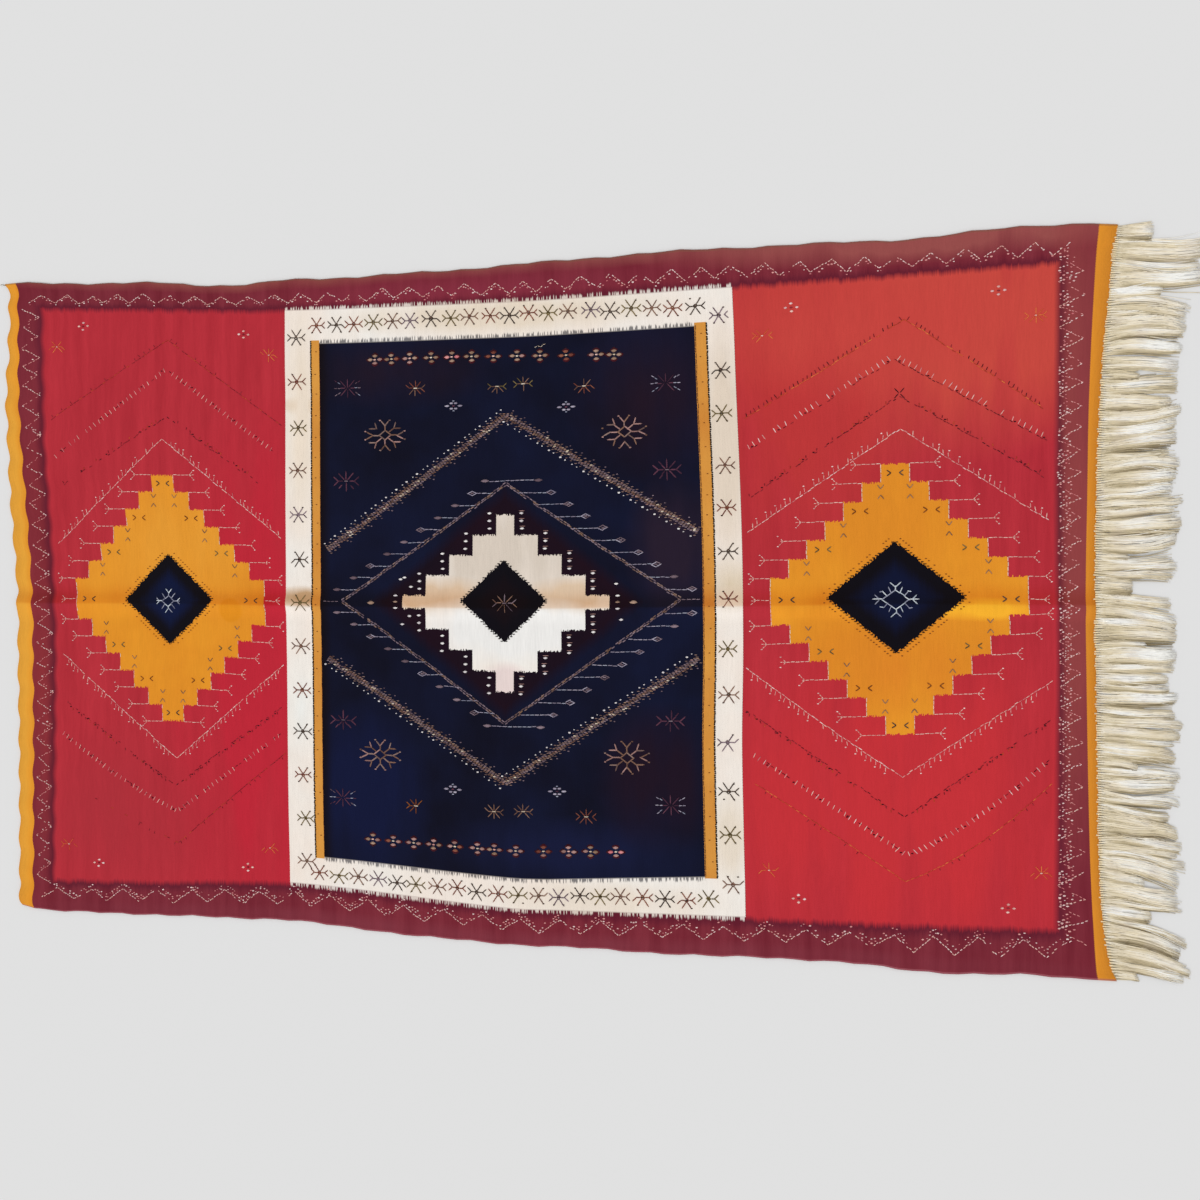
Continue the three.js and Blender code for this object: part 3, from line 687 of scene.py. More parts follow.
# Dyed yarns of the pattern: a darker and a lighter tone of each
yarnTones = {
    "pink": ("#d0747a", "#efb0ab"), "pinkPale": ("#dc9c96", "#f6d2c6"), "blush": ("#dca6a6", "#fbe4e0"),
    "white": ("#ddd6d8", "#faf6f3"), "cream": ("#d2bea4", "#efe2cf"), "dusty": ("#94706a", "#b8908a"),
    "brown": ("#66493f", "#95715f"), "band": ("#68504b", "#9c8178"), "tan": ("#8e705c", "#b19380"),
    "tanDark": ("#7c5d47", "#a98463"), "rust": ("#6e3a31", "#965c48"), "rustDark": ("#6f3a1c", "#9a5a24"),
    "ember": ("#a3352a", "#c9552f"), "olive": ("#5d5032", "#87754b"), "mauve": ("#63505a", "#94808a"),
    "plum": ("#402538", "#6a4052"), "lilac": ("#8f869a", "#bdb6c6"), "slate": ("#84879c", "#b4b7c8"),
    "ice": ("#b4c0cc", "#ecf2f5"), "charcoal": ("#3a2f28", "#66574c"), "orange": ("#cf5534", "#ea8a48"),
    "black": ("#17120f", "#2c231e"), "wine": ("#34101a", "#4f1a24"), "wineRed": ("#741824", "#95303a"),
    "shadow": ("#380e17", "#4a1620")}
yarnDyes = list(yarnTones)

motifs = {  # strokes of one quarter, in mm from the middle
    "frameStar": [(0, 4, 4, 0), (2, 4, 10, 16), (5, 0, 12, 0), (12, 0, 19.5, 7)],
    "aster": [(0, 3, 0, 16), (3, 2, 13, 13), (6, 0, 14, 0), (14, 0, 22, 7)],
    "snowflake": [(0, 11, 14, 0), (14, 0, 28, 0), (28, 0, 42, 7), (0, 11, 0, 20), (0, 20, 9, 31),
                  (8, 6, 20, 15), (20, 15, 35, 15), (20, 15, 24, 27)],
    "ice": [(0, 20, 28, 0), (28, 0, 46, 0), (34, 1, 42, 9), (0, 20, 0, 28), (0, 26, 10, 35),
            (9, 14, 14, 25), (18, 8, 26, 17), (26, 17, 33, 16)],
    "smallIce": [(0, 13, 17, 0), (17, 0, 30, 0), (24, 0, 31, 7), (0, 13, 0, 19), (0, 18, 8, 27),
                 (9, 7, 17, 17)],
}

# White frame: small stars in many yarns, four sides
frameYarns = ("charcoal", "rust", "olive", "brown", "mauve", "charcoal", "olive", "brown", "rust")
starRuns = [  # from p, q to p, q, how many, how far the row bows outwards, stars set off from an even spacing
    (-488, 602, -474, -614, 13, 0, {}),
    (475, 609, 481, -606, 13, 0, {1: -17, 2: -8, 3: -20, 4: -9, 11: 8, 12: 7}),
    (-436, 630, 425, 632, 20, 7, {}), (-443, -642, 429, -634, 20, 0, {})]
starCount = 0
for pa, qa, pb, qb, count, bow, setOff in starRuns:
    for k in range(count):
        t = k / (count - 1)
        main = frameYarns[starCount % len(frameYarns)]
        p = pa + (pb - pa) * t + random.normal(0, 1.5)
        q = qa + (qb - qa) * t + bow * math.sin(math.pi * t) + random.normal(0, 1.5)
        q += setOff.get(k, 0)
        fourWays(main, p, q, motifs["frameStar"], 0.98 + 0.14 * random.random(), 3.1, keep=0.97)
        dot((main, "charcoal"), p, q, 7, 3.6)
        for sp, sq in ((1, 1), (1, -1), (-1, 1), (-1, -1)):
            if random.random() < 0.6:
                dot("charcoal", p + sp * 10.5, q + sq * 16.5, 4.5, 3.4)
        dot(frameYarns[(starCount + 3) % len(frameYarns)], p, q + 3, 5, 2.6)
        starCount += 1

# Inner yellow strips: a thin dark line on the outer edge, small worn brown dashes along the middle
for p, low in ((-452, -604), (450, -589)):
    run("black", [(p, 596), (p, low)], 4, 4.6, gap=0.08, loose=0.3)
run("wine", [(-431, 592), (-431, -600)], 12, 1.6, gap=0.0, loose=0.3)
run("wine", [(426, 592), (426, -586)], 12, 1.6, gap=0.0, loose=0.3)
for p in (-441, 438):
    for k in range(24):
        dot("rustDark", p + random.normal(0, 2), 572 - 49 * k + random.normal(0, 5), 4, 2.2)


def cross(p, q, petal, middle, reachP=11, reachQ=8.8, petalLength=11.5, petalWidth=8.6, halo=True):
    # Four lozenges round a bright middle, over a dark wine ground
    for sp, sq in ((1, 0), (-1, 0), (0, 1), (0, -1)):
        atP, atQ = p + sp * reachP + random.normal(0, 0.5), q + sq * reachQ + random.normal(0, 0.4)
        if halo:
            dot("shadow", atP + sp * 2, atQ + sq * 2, petalLength + 4, petalWidth + 3, flat=True)
        dot(petal, atP, atQ, petalLength, petalWidth)
    dot(middle, p, q, 6, 4)


# Navy field: rows of four-lozenge crosses above and below
petals = ("dusty", "rust", "dusty", "tan", "pink", "tan", "rust", "dusty", "tan", "rust", "dusty", "tan")
topRow = (-298, -258, -215, -165, -117, -71, -21, 33, 85, 143, 210, 249)
lowRow = (-315, -267, -219, -173, -124, -72, -34, 14, 76, 132, 180, 235)
for k, (pTop, pLow) in enumerate(zip(topRow, lowRow)):
    atQ = 549 + 5 * math.sin(math.pi * k / 11) - 0.9 * k
    cross(pTop, atQ, (petals[k], "tan"), "cream" if k % 2 else "pinkPale")
    cross(pLow, -548 + 0.9 * k, (petals[(k + 5) % 12], "dusty"), "cream" if k % 3 else "pinkPale")

# Navy field: scattered stars and flowers
fieldMotifs = [  # p, q, motif, yarn, scale, how much of it is left
    (-203, 482, "aster", ("brown", "rust"), 1.0, 0.9), (-14, 481, "aster", ("brown", "olive"), 0.95, 0.9),
    (45, 485, "aster", ("brown", "olive"), 0.95, 0.9), (181, 474, "aster", ("brown", "rust"), 1.0, 0.9),
    (-276, 377, "snowflake", ("band", "brown", "dusty"), 1.03, 0.97),
    (266, 370, "snowflake", ("band", "dusty", "brown"), 1.05, 0.97),
    (-369, 274, "aster", "plum", 1.35, 0.9), (355, 284, "aster", "plum", 1.35, 0.9),
    (-381, -277, "aster", "plum", 1.35, 0.9), (357, -256, "aster", "plum", 1.35, 0.9),
    (-294, -352, "snowflake", ("band", "dusty", "brown"), 1.03, 0.97),
    (263, -335, "snowflake", ("band", "brown", "dusty"), 1.05, 0.97),
    (-212, -462, "aster", "rustDark", 1.0, 0.9), (-33, -459, "aster", "brown", 0.95, 0.9),
    (33, -455, "aster", "brown", 0.95, 0.9), (172, -464, "aster", "rust", 1.0, 0.9),
    (-5, -1, "aster", ("brown", "mauve"), 1.2, 1.0), (-822, -6, "smallIce", ("slate", "ice"), 1.0, 1.0),
    (823, -3, "ice", ("slate", "ice"), 1.0, 1.0)]
for p, q, motif, yarn, scale, keep in fieldMotifs:
    thick = motif == "snowflake" or yarn == "plum"
    fourWays(yarn, p, q, motifs[motif], scale, 3.7 if thick else 2.7, keep=keep)
    if motif == "aster":
        dot("mauve" if yarn == "plum" or p == -5 else "cream", p, q, 10, 2.8)
    if motif == "snowflake":
        for sp in (1, -1):
            for sq in (1, -1):
                dot(yarn, p + sp * 45 * scale, q + sq * 9 * scale, 5, 4)
                dot(yarn, p + sp * 11 * scale, q + sq * 33 * scale, 5, 4)
for p, q in ((-115, 440), (140, 430), (-126, -417), (109, -410)):
    for sp in (1, -1):
        dot("lilac", p + sp * 15, q, 11, 5.5)
        for sq in (1, -1):
            dot("lilac", p + sp * 5, q + sq * 6, 8, 5)
    for sq in (1, -1):
        dot("slate", p, q + sq * 11, 5, 3.4)
    dot("plum", p, q, 6, 4)
for p, q, yarn in ((-364, 486, ("mauve", "slate", "plum")), (359, 471, ("lilac", "slate")),
                   (-384, -458, ("mauve", "slate", "plum")), (355, -436, ("lilac", "slate"))):
    fourWays("plum", p, q, motifs["aster"][:3], 1.25, 2.8, 0.95)
    for sp in (1, -1):
        for tipP, tipQ, farP, farQ in ((16, 0, 33, 0), (17, 9, 31, 18), (17, -9, 31, -18)):
            run(yarn, [(p + sp * tipP, q + tipQ), (p + sp * farP, q + farQ)], 9, 2.2, gap=0.1)
run("cream", [(73, 565), (79, 568), (85, 565), (91, 569), (98, 570)], 6, 1.4)

# Navy field: two broad brown chevrons of rows of floats, with fringed sides and white dots
bandLimbs = [
    ((5, 417), (-415, 116)), ((5, 417), (417, 148)), ((-7, -395), (-418, -132)), ((-7, -395), (420, -119))]
for (pa, qa), (pb, qb) in bandLimbs:
    length = math.hypot(pb - pa, qb - qa)
    outP, outQ = -(qb - qa) / length, (pb - pa) / length
    if outP > 0:
        outP, outQ = -outP, -outQ
    for k in range(int(length / 6)):
        t = (k + 0.5) * 6 / length
        p, q = pa + (pb - pa) * t, qa + (qb - qa) * t
        for row, offset in enumerate((-4.8, -1.6, 1.6, 4.8)):
            if random.random() < 0.95:
                yarn = ("band", "mauve", "band", "brown", "mauve")[(row + k // 9) % 5]
                if random.random() < 0.14:
                    yarn = ("tan", "dusty", "cream")
                atP = p + outP * offset + random.normal(0, 0.6)
                dot(yarn, atP, q + outQ * offset + random.normal(0, 0.4), 6.4, 3.2)
        for side in (1, -1):
            if k % 2 and random.random() < 0.85:
                reach = side * (9.5 + 1.5 * random.random())
                dot("band", p + outP * reach, q + outQ * reach, 6, 2.2)
        if k % 5 in (0, 2):
            size = random.uniform(3.2, 5.8) if k % 5 == 0 else random.uniform(2.4, 4)
            dot("white", p + outP * 16, q + outQ * 16, size, 0.78 * size)
        if k % 5 == 1 and random.random() < 0.7:
            dot("mauve", p - outP * 16.5, q - outQ * 16.5, 4, 2.8)

# Navy field: the thin mauve diamond with stemmed lozenges
tips = {"top": (2, 264), "left": (-380, 0), "low": (-7, -264), "right": (378, 4)}
for a, b in (("top", "left"), ("left", "low"), ("low", "right"), ("right", "top")):
    (pa, qa), (pb, qb) = tips[a], tips[b]
    for offset in (-2.4, 2.4):
        ends = [(pa, qa + offset), (pb, qb + offset)]
        run(("mauve", "band", "mauve"), ends, 9, 3.2, gap=0.04, keep=0.98, loose=0.6)
    run("tanDark", [tips[a], tips[b]], 30, 2.4, gap=0.65, keep=0.6)
for side, reachNear, reachFar in ((-1, 46, 50), (1, 74, 58)):
    for end in (1, -1):
        for k in range(10):
            q = end * (271 - 27.2 * k)
            limb = max(0.0, (264 - abs(q)) / 264) * 381
            reach = reachNear + (reachFar - reachNear) * k / 9
            tip = side * (limb + reach)
            stem = [(side * limb, q), (tip - side * 9, q + random.normal(0, 1))]
            run(("slate", "lilac"), stem, 11, 2.1, gap=0.0, loose=0.25)
            if k % 3 == 1 or side > 0 and k % 4:
                fourWays(("lilac", "mauve"), tip, q, [(0, 5, 10, 0)], 1.0, 2.4)
                dot("mauve", tip, q, 8, 3.5)
            else:
                dot(("mauve", "lilac", "mauve")[k % 3], tip, q, 18, 8)
run("mauve", [(378, 4), (400, 3), (420, 4)], 9, 2.4)
run("mauve", [(-380, 0), (-424, -1)], 9, 1.9, keep=0.8)
for p, q in ((277, -1), (-312, -3)):
    dot("tan", p, q, 16, 9)

# White diamond: three dots beside each upright step
whiteDiamond = dye["steppedDiamonds"][2]
centre, middle, half, stepP, firstQ, stepQ = whiteDiamond[:6]
for side in (1, -1):
    for end in (1, -1):
        lean = whiteDiamond[7 if end < 0 else 8][0]
        for k in range(1, 5):
            edge = centre + side * (half - stepP * k)
            top = firstQ + stepQ * k
            for row in range(3):
                atQ = middle + end * (top + 4 - 17 * row)
                atP = edge + side * 16 + lean * atQ + random.normal(0, 0.8)
                dot("white", atP, atQ, 9, 6.2)
                if side > 0:
                    dot("dusty", atP + 1, atQ + 5, 13, 1.8)
    for q in (-14, 0, 14):
        dot("white" if q else "tan", centre + side * (half + 17), middle + q, 10, 5.4)
for p, q in ((-219, 34), (-234, 55), (-243, 51), (-223, -32), (-240, -51), (240, 40), (250, -38)):
    dot("white", p, q, 9, 5.6)


def onDiamond(diamond, sideways, upward):
    # A place on a stepped diamond, which leans and tilts a little on the cloth
    centre, middle, rise = diamond[0], diamond[1], diamond[9]
    lean, tilt = diamond[7] if upward < 0 else diamond[8]
    if sideways > 0 and upward < 0:
        upward += rise * sideways
    upward += tilt * sideways
    return centre + sideways + lean * upward, middle + upward


# Yellow diamonds: pale lines on the upright steps, stems with forks, and pairs of small dark marks
for diamond in dye["steppedDiamonds"][:2]:
    half, stepP, firstQ, stepQ = diamond[2:6]
    big = diamond[0] > 0
    for side in (1, -1):
        for end in (1, -1):
            for k in range(7):
                edge = half - stepP * k
                top = firstQ + stepQ * k
                low = top - stepQ if k else 0
                foot, corner = (onDiamond(diamond, side * edge, end * up) for up in (low, top))
                kept = 0.98 if big else 0.85
                run(("pinkPale", "cream"), [foot, corner], 9, 2.1, gap=0.02, keep=kept, loose=0.3)
                stem = (49 if big else 42) if k else 34
                tip = onDiamond(diamond, side * (edge + stem), end * top)
                run("pinkPale", [corner, tip], 10, 2.0, gap=0.04, loose=0.3)
                for forkP, forkQ in ((9, 9), (12, 0), (9, -9)):
                    prong = [tip, (tip[0] + side * forkP, tip[1] + forkQ)]
                    run("pinkPale", prong, 7, 1.9, keep=0.92, loose=0.3)
                    if forkQ:
                        dot("blush", tip[0] + side * (forkP + 2), tip[1] + 1.2 * forkQ, 4, 3)
                # two small marks inside each step, side by side or one above the other by turns
                if k == 6 and side < 0 or k == 0 and end < 0:
                    continue
                markP = 0 if k == 6 else side * (edge - (34 if k % 2 == 0 else 38))
                markP, markQ = onDiamond(diamond, markP, end * (top + low) / 2 if k else 0)
                yarn = ("charcoal", "rustDark", "olive")[k % 3] if k % 2 == 0 else "tanDark"
                for facing in (1, -1):
                    for tick in (1, -1):
                        outer, inner, width = (facing * 17, tick * 6), (facing * 8, 0), 3.0
                        if k % 2:
                            outer, inner, width = (tick * 6.5, facing * 15), (0, facing * 6), 2.6
                        stitch(yarn, markP + outer[0], markQ + outer[1], markP + inner[0], markQ + inner[1],
                               width)
        start = onDiamond(diamond, side * (half + 3), 0)
        tip = (start[0] + side * 27, start[1])
        run("pinkPale", [start, tip], 9, 1.9, gap=0.04)
        for forkQ in (9, 0, -9):
            run("pinkPale", [tip, (tip[0] + side * 11, tip[1] + forkQ)], 7, 1.9)
for centre, middle, half, halfQ, middleDye in dye["plainDiamonds"]:
    for side in (1, -1):
        for end in (1, -1):
            for k in range(int(half / 5.6)):
                t = (k + 0.5) * 5.6 / half
                rimP, rimQ = centre + side * half * (1 - t), middle + end * halfQ * t
                if random.random() < 0.9:
                    dot("black", rimP + side * 1.5, rimQ + end * 1.5, 6, 2.6)
                if half > 100 and random.random() < 0.6:
                    dot("rustDark", rimP + side * 9, rimQ + end * 8, 4.2, 2.4)

# Red panels: nested chevrons, each in its own style
chevrons = [  # apex p and q, left end p and q, its bow outwards, right end p and q, its bow, style
    (850, 576, 523, 386, 0, 1116, 379, 0, "darkTicks"),
    (828, 494, 525, 316, 0, 1124, 314, 0, "pinkTicks"), (838, 417, 515, 210, 0, 1118, 243, 0, "dotted"),
    (838, 350, 518, 143, 0, 1127, 156, 0, "feather"), (838, -368, 514, -143, 4, 1131, -166, 0, "feather"),
    (841, -450, 516, -232, 0, 1127, -246, 0, "dotted"),
    (845, -526, 517, -316, 0, 1125, -325, 20, "pinkTicks"),
    (843, -582, 533, -386, 0, 1131, -374, 24, "orange"),
    (-807, 599, -1116, 411, 0, -525, 402, 0, "orange"),
    (-812, 530, -1122, 314, 0, -540, 339, 0, "pinkTicks"),
    (-812, 420, -1097, 256, 0, -584, 270, 0, "dotted"),
    (-825, 369, -1113, 124, 0, -527, 143, 0, "feather"),
    (-803, -378, -1113, -132, 0, -523, -152, 0, "feather"),
    (-806, -441, -1100, -246, 0, -530, -254, 0, "dotted"),
    (-801, -501, -1121, -310, 12, -526, -313, 0, "pinkTicks"),
    (-800, -577, -1037, -467, 0, -520, -362, 0, "orange")]
lineStyles = {  # yarn, stitch length, width, gap, share that is left, how loosely it lies
    "feather": (("pinkPale", "blush", "pink"), 9, 2.2, 0.02, 0.98, 0.6),
    "dotted": (("wineRed", "wine", "wineRed"), 8, 2.0, 0.12, 0.8, 0.9),
    "pinkTicks": (("wine", "wineRed"), 9, 1.8, 0.15, 0.3, 0.8),
    "darkTicks": (("ember", "orange"), 9, 2.0, -0.1, 0.85, 0.7),
    "orange": (("orange", "ember"), 9, 1.7, 0.02, 0.95, 0.4)}
tickStyles = {  # from and to how far out of the line, whether along the weft, pitch, yarn, share left, width
    "feather": (2, 12, True, 12, ("pinkPale", "pink"), 0.85, 2.0),
    "dotted": (3, 9, True, 13, ("ember", "wineRed"), 0.65, 2.2),
    "pinkTicks": (-5, 7, False, 13, ("blush", "pinkPale", "pink"), 0.9, 2.1),
    "darkTicks": (1, 10, False, 10.5, ("wine", "wineRed", "wineRed"), 0.85, 2.1),
    "orange": (2, 8, False, 15, "wineRed", 0.4, 1.9)}
for apexP, apexQ, leftP, leftQ, leftBow, rightP, rightQ, rightBow, style in chevrons:
    end = 1 if apexQ > 0 else -1
    for pb, qb, bow in ((leftP, leftQ, leftBow), (rightP, rightQ, rightBow)):
        away = 1 if pb > apexP else -1
        length = math.hypot(pb - apexP, qb - apexQ)
        alongP, alongQ = (pb - apexP) / length, (qb - apexQ) / length
        outP, outQ = (-alongQ, alongP) if alongP * end > 0 else (alongQ, -alongP)

        def onLimb(t):
            return apexP + (pb - apexP) * t, apexQ + (qb - apexQ) * t + end * 4 * bow * t * (1 - t)

        line = [onLimb(t) for t in np.linspace(0, 1, 9)]
        yarn, size, width, gap, keep, loose = lineStyles[style]
        near, far, straight, pitch, tickYarn, tickKeep, tickWidth = tickStyles[style]
        standing = style == "pinkTicks" and apexP > 0 and end > 0
        if style == "feather" and pb < apexP < 0:
            tickKeep = 0.5
        if style == "dotted" and apexP < 0:
            keep = 0.5
        if style == "pinkTicks" and apexP < 0:
            tickYarn, tickWidth = ("pink", "pinkPale"), 1.8
        if standing:  # this row of ticks stands on its line, the others lie across it
            near, far, keep = 1, 13, 0.75 if away > 0 else 0.3
        if style == "orange" and apexP < 0:
            yarn, keep = ("ember", "wineRed"), 0.3 if end < 0 and away < 0 else 0.95
        run(yarn, line, size, width, gap, keep, loose)
        for k in range(int(length / pitch)):
            t = (k + 0.5) * pitch / length
            if random.random() > tickKeep or (straight and t * length < 22):
                continue
            p, q = onLimb(t)
            dirP, dirQ = (0, end) if straight else (outP, outQ)
            slant = random.normal(0, 1.5) - (3 * away if style == "darkTicks" else 0)
            stitch(tickYarn, p + dirP * near, q + dirQ * near, p + dirP * far + slant, q + dirQ * far,
                   tickWidth)
            if style == "feather" and k % 2:
                dot("blush", p + away * 2, q + end * 15, 4, 3)
            if style == "dotted" and k % 2 or style == "pinkTicks" and k % 5 == 0:
                dot("wine", p + away * 6, q, 5, 3)

fourWays("wine", 838, 424, [(2, 2, 9, 10)], 1.0, 2.4)

# Red panels: four-dot diamonds and worn orange stars in the corners
for p, q in ((626, 616), (1031, 621), (621, -625), (1048, -630),
             (-1026, 628), (-617, 613), (-1011, -627), (-621, -636)):
    cross(p, q, ("blush", "pinkPale"), "wineRed", 11.5, 8, 7, 5.6, halo=False)
for p, q in ((565, 560), (1101, 566), (559, -568), (1112, -557),
             (-1095, 580), (-555, 565), (-1091, -584), (-565, -589)):
    fourWays("orange", p, q, motifs["aster"], 0.95, 1.9, keep=0.7)
    dot("pinkPale", p, q, 5, 3)

# Maroon border: zigzags of fine pale stitches, doubled by rows of dots
borders = [  # runs along p or q, from, to, middle of the zigzag, its reach, pitch, shifts of the dotted rows
    ("q", 672, -680, -1162, 20.5, 46, (6,)), ("q", 672, -690, 1168, 24, 45, (8, 16, 24)),
    ("p", -1165, 1165, 700, 13, 66, (-7,)), ("p", -1165, 1165, -703, 15, 88, (6.5, 12.5))]
for axis, start, stop, middle, reach, pitch, shifts in borders:
    count = round(abs(stop - start) / (pitch / 2))
    corners = []
    for k in range(count + 1):
        alongIt = start + (stop - start) * k / count + random.normal(0, 2.5)
        across = middle + reach * (1 if k % 2 else -1) + random.normal(0, 1.5)
        corners.append((alongIt, across) if axis == "p" else (across, alongIt))
    for k, ends in enumerate(zip(corners, corners[1:])):
        strong = axis == "p" or k % 2 == (middle > 0)
        run(("blush", "pinkPale") if strong else "pink", ends, 6.5, 2.5 if strong else 2.1, gap=0.2,
            keep=0.9 if strong else 0.8, loose=0.7)
    for shift in shifts:
        for (pa, qa), (pb, qb) in zip(corners, corners[1:]):
            steps = max(2, round(math.hypot(pb - pa, qb - qa) / 7))
            for k in range(steps):
                p, q = pa + (pb - pa) * (k + 0.5) / steps, qa + (qb - qa) * (k + 0.5) / steps + shift
                inner = axis == "p" or (p < middle + 3 if middle > 0 else p > middle - 6)
                if inner and random.random() < (0.5 if axis == "p" else 0.68 if middle > 0 else 0.4):
                    size = random.uniform(2.6, 5.2)
                    p, q = p + random.normal(0, 1), q + random.normal(0, 1)
                    dot(("blush", "pink"), p, q, size, 0.75 * size)
run("olive", [(-1221, 747), (-1231, 749), (-1239, 746)], 8, 1.8, gap=0.0)

# Loosely spun wool, one dyed colour to a yarn: matt, with a tone for each stitch
rows = np.array(stitches)
tones = np.array([[linear(tone)[:3] for tone in pair] for pair in yarnTones.values()])
share = random.random(len(rows))[:, None]
pairs = tones[rows[:, 0].astype(int)]
stitchColours = pairs[:, 0] * (1 - share) + pairs[:, 1] * share


def spunWool():
    material, tree, shader = startMaterial("loosely spun dyed wool", 0.92, 0.02)
    dyed = addNode(tree, "ShaderNodeAttribute", output="Color", attribute_name="dyed")
    where = addNode(tree, "ShaderNodeTexCoord", output="Object")
    fibre = addNode(tree, "ShaderNodeTexNoise", {"Vector": where, "Scale": 420.0, "Detail": 2.0})
    tone = addNode(tree, "ShaderNodeMapRange", {0: fibre, 1: 0.3, 2: 0.7, 3: 0.9, 4: 1.08})
    colour = addNode(tree, "ShaderNodeHueSaturation", {"Value": tone, "Color": dyed})
    tree.links.new(colour, shader.inputs["Base Color"])
    bump = addNode(tree, "ShaderNodeBump", {"Height": fibre, "Strength": 0.4, "Distance": 0.0006})
    tree.links.new(bump, shader.inputs["Normal"])
    return material


spun = spunWool()


def stitchedYarn(name, chosen):
    number, p0, q0, p1, q1, width, height = rows[chosen].T
    x0, y0, lift0 = place(p0, q0)
    x1, y1, lift1 = place(p1, q1)
    length = np.hypot(x1 - x0, y1 - y0)
    acrossX, acrossY = -(y1 - y0) / length, (x1 - x0) / length
    across, upward = stitchAcross[None, :], stitchUp[None, :]
    fromMiddle, ends = stitchAlong - 0.5, stitchShape["lozengeEnds"]
    pointed = 0.5 + fromMiddle * np.where(np.abs(fromMiddle) < ends, ends, 1)
    broad = (width > stitchShape["broad"])[:, None]  # broad stitches are lozenges
    along = np.where(broad, pointed[None, :], stitchAlong[None, :])
    x = x0[:, None] + (x1 - x0)[:, None] * along + acrossX[:, None] * across * width[:, None]
    y = y0[:, None] + (y1 - y0)[:, None] * along + acrossY[:, None] * across * width[:, None]
    height = (height + stitchShape["foot"])[:, None]
    z = (lift0[:, None] * (1 - along) + lift1[:, None] * along + cloth["thickness"] + cloth["ribHeight"]
         - stitchShape["sunk"] + height * (upward - stitchShape["footShare"]))
    side = math.ceil(math.sqrt(len(number)))
    piece = joinedCopies(name, np.stack([x, y, z], axis=2), masterFaces, sideMap(masterFaces, 3),
                         (side, side), stitchColours[chosen][:, None, :], spun)
    print(name, len(number), "stitches")
    return piece


fieldReach, borderFrom = (520, 672), (1133, 676)  # the yarns are shared out by p and q into three pieces
stitchP, stitchQ = np.abs(rows[:, 1]), np.abs(rows[:, 2])
inField = (stitchP < fieldReach[0]) & (stitchQ < fieldReach[1])
inBorder = ~inField & ((stitchP > borderFrom[0]) | (stitchQ > borderFrom[1]))
stitchPieces = [stitchedYarn("fieldYarns", inField), stitchedYarn("borderYarns", inBorder),
                stitchedYarn("panelYarns", ~inField & ~inBorder)]

# Warp fringe: a sheet of fine loose warp ends that gathers into flat silky locks
fringe = {
    "ends": 5800, "halfWidth": 747, "reach": 149, "reachSpread": 7, "lockWidth": (10, 34), "toothPitch": 4.8,
    "steps": (-0.012, 0.012, 0.05, 0.12, 0.21, 0.32, 0.44, 0.57, 0.71, 0.85, 1.0),
    "pile": (2.8, 5.0, 3.2), "radius": (0.7, 1.0, 0.62), "loose": 0.3, "looseDrift": 8, "ownDrift": 1.6,
    "broken": 0.08, "brokenReach": 0.75, "inTooth": 0.75, "toothPull": (0.65, 0.1), "gatheredBy": 0.3,
    # how the shade goes: painted light and shade over a lock's width, then a tone along it
    "sunlit": ((-1.1, -0.8, -0.35, 0.5, 0.9, 1.15), (-0.06, 0.16, 0.5, 0.62, 0.5, 0.3)),
    "toneAlong": ((0, 0.08, 0.25, 0.7, 1), (0.04, 0.05, 0, -0.05, -0.24)),
    "stripe": ((0, 0.15, 0.45, 1), (0.1, 0.1, 0.09, 0.09)),
    "rootHeight": ((-0.012, 0.012, 0.05, 0.12), (3.55, 3.2, 2.2, 0.0)), "lowest": 0.02}
sweep = [  # q, how far the tips drift towards +Y, how far the locks bow
    (-750, -14, 0), (-650, -30, 3), (-560, -20, 2), (-480, -16, 4), (-400, -10, -2), (-300, -5, 2),
    (-200, -5, -3), (-80, -4, 3), (-10, -14, 4), (60, 3, -3), (130, 7, -4), (250, 6, 3), (350, 8, -5),
    (430, -3, -3), (520, 0, 7), (600, -11, 5), (680, -6, -4), (750, -9, 0)]
driftLine, bowLine = curveThrough(sweep, 1), curveThrough(sweep, 2)
unevenLocks = {  # q of the lock and its reach
    737: 68, 700: 176, 655: 62, 630: 178, 606: 99, 433: 70, 81: 64, 29: 70, -97: 94, -325: 74, -565: 83,
    -622: 92, -735: 46}
fringeTones = ((0.0, "#998a6c"), (0.25, "#c4b594"), (0.5, "#e8dbbd"), (0.72, "#f9f0dd"), (1.0, "#fffefa"))


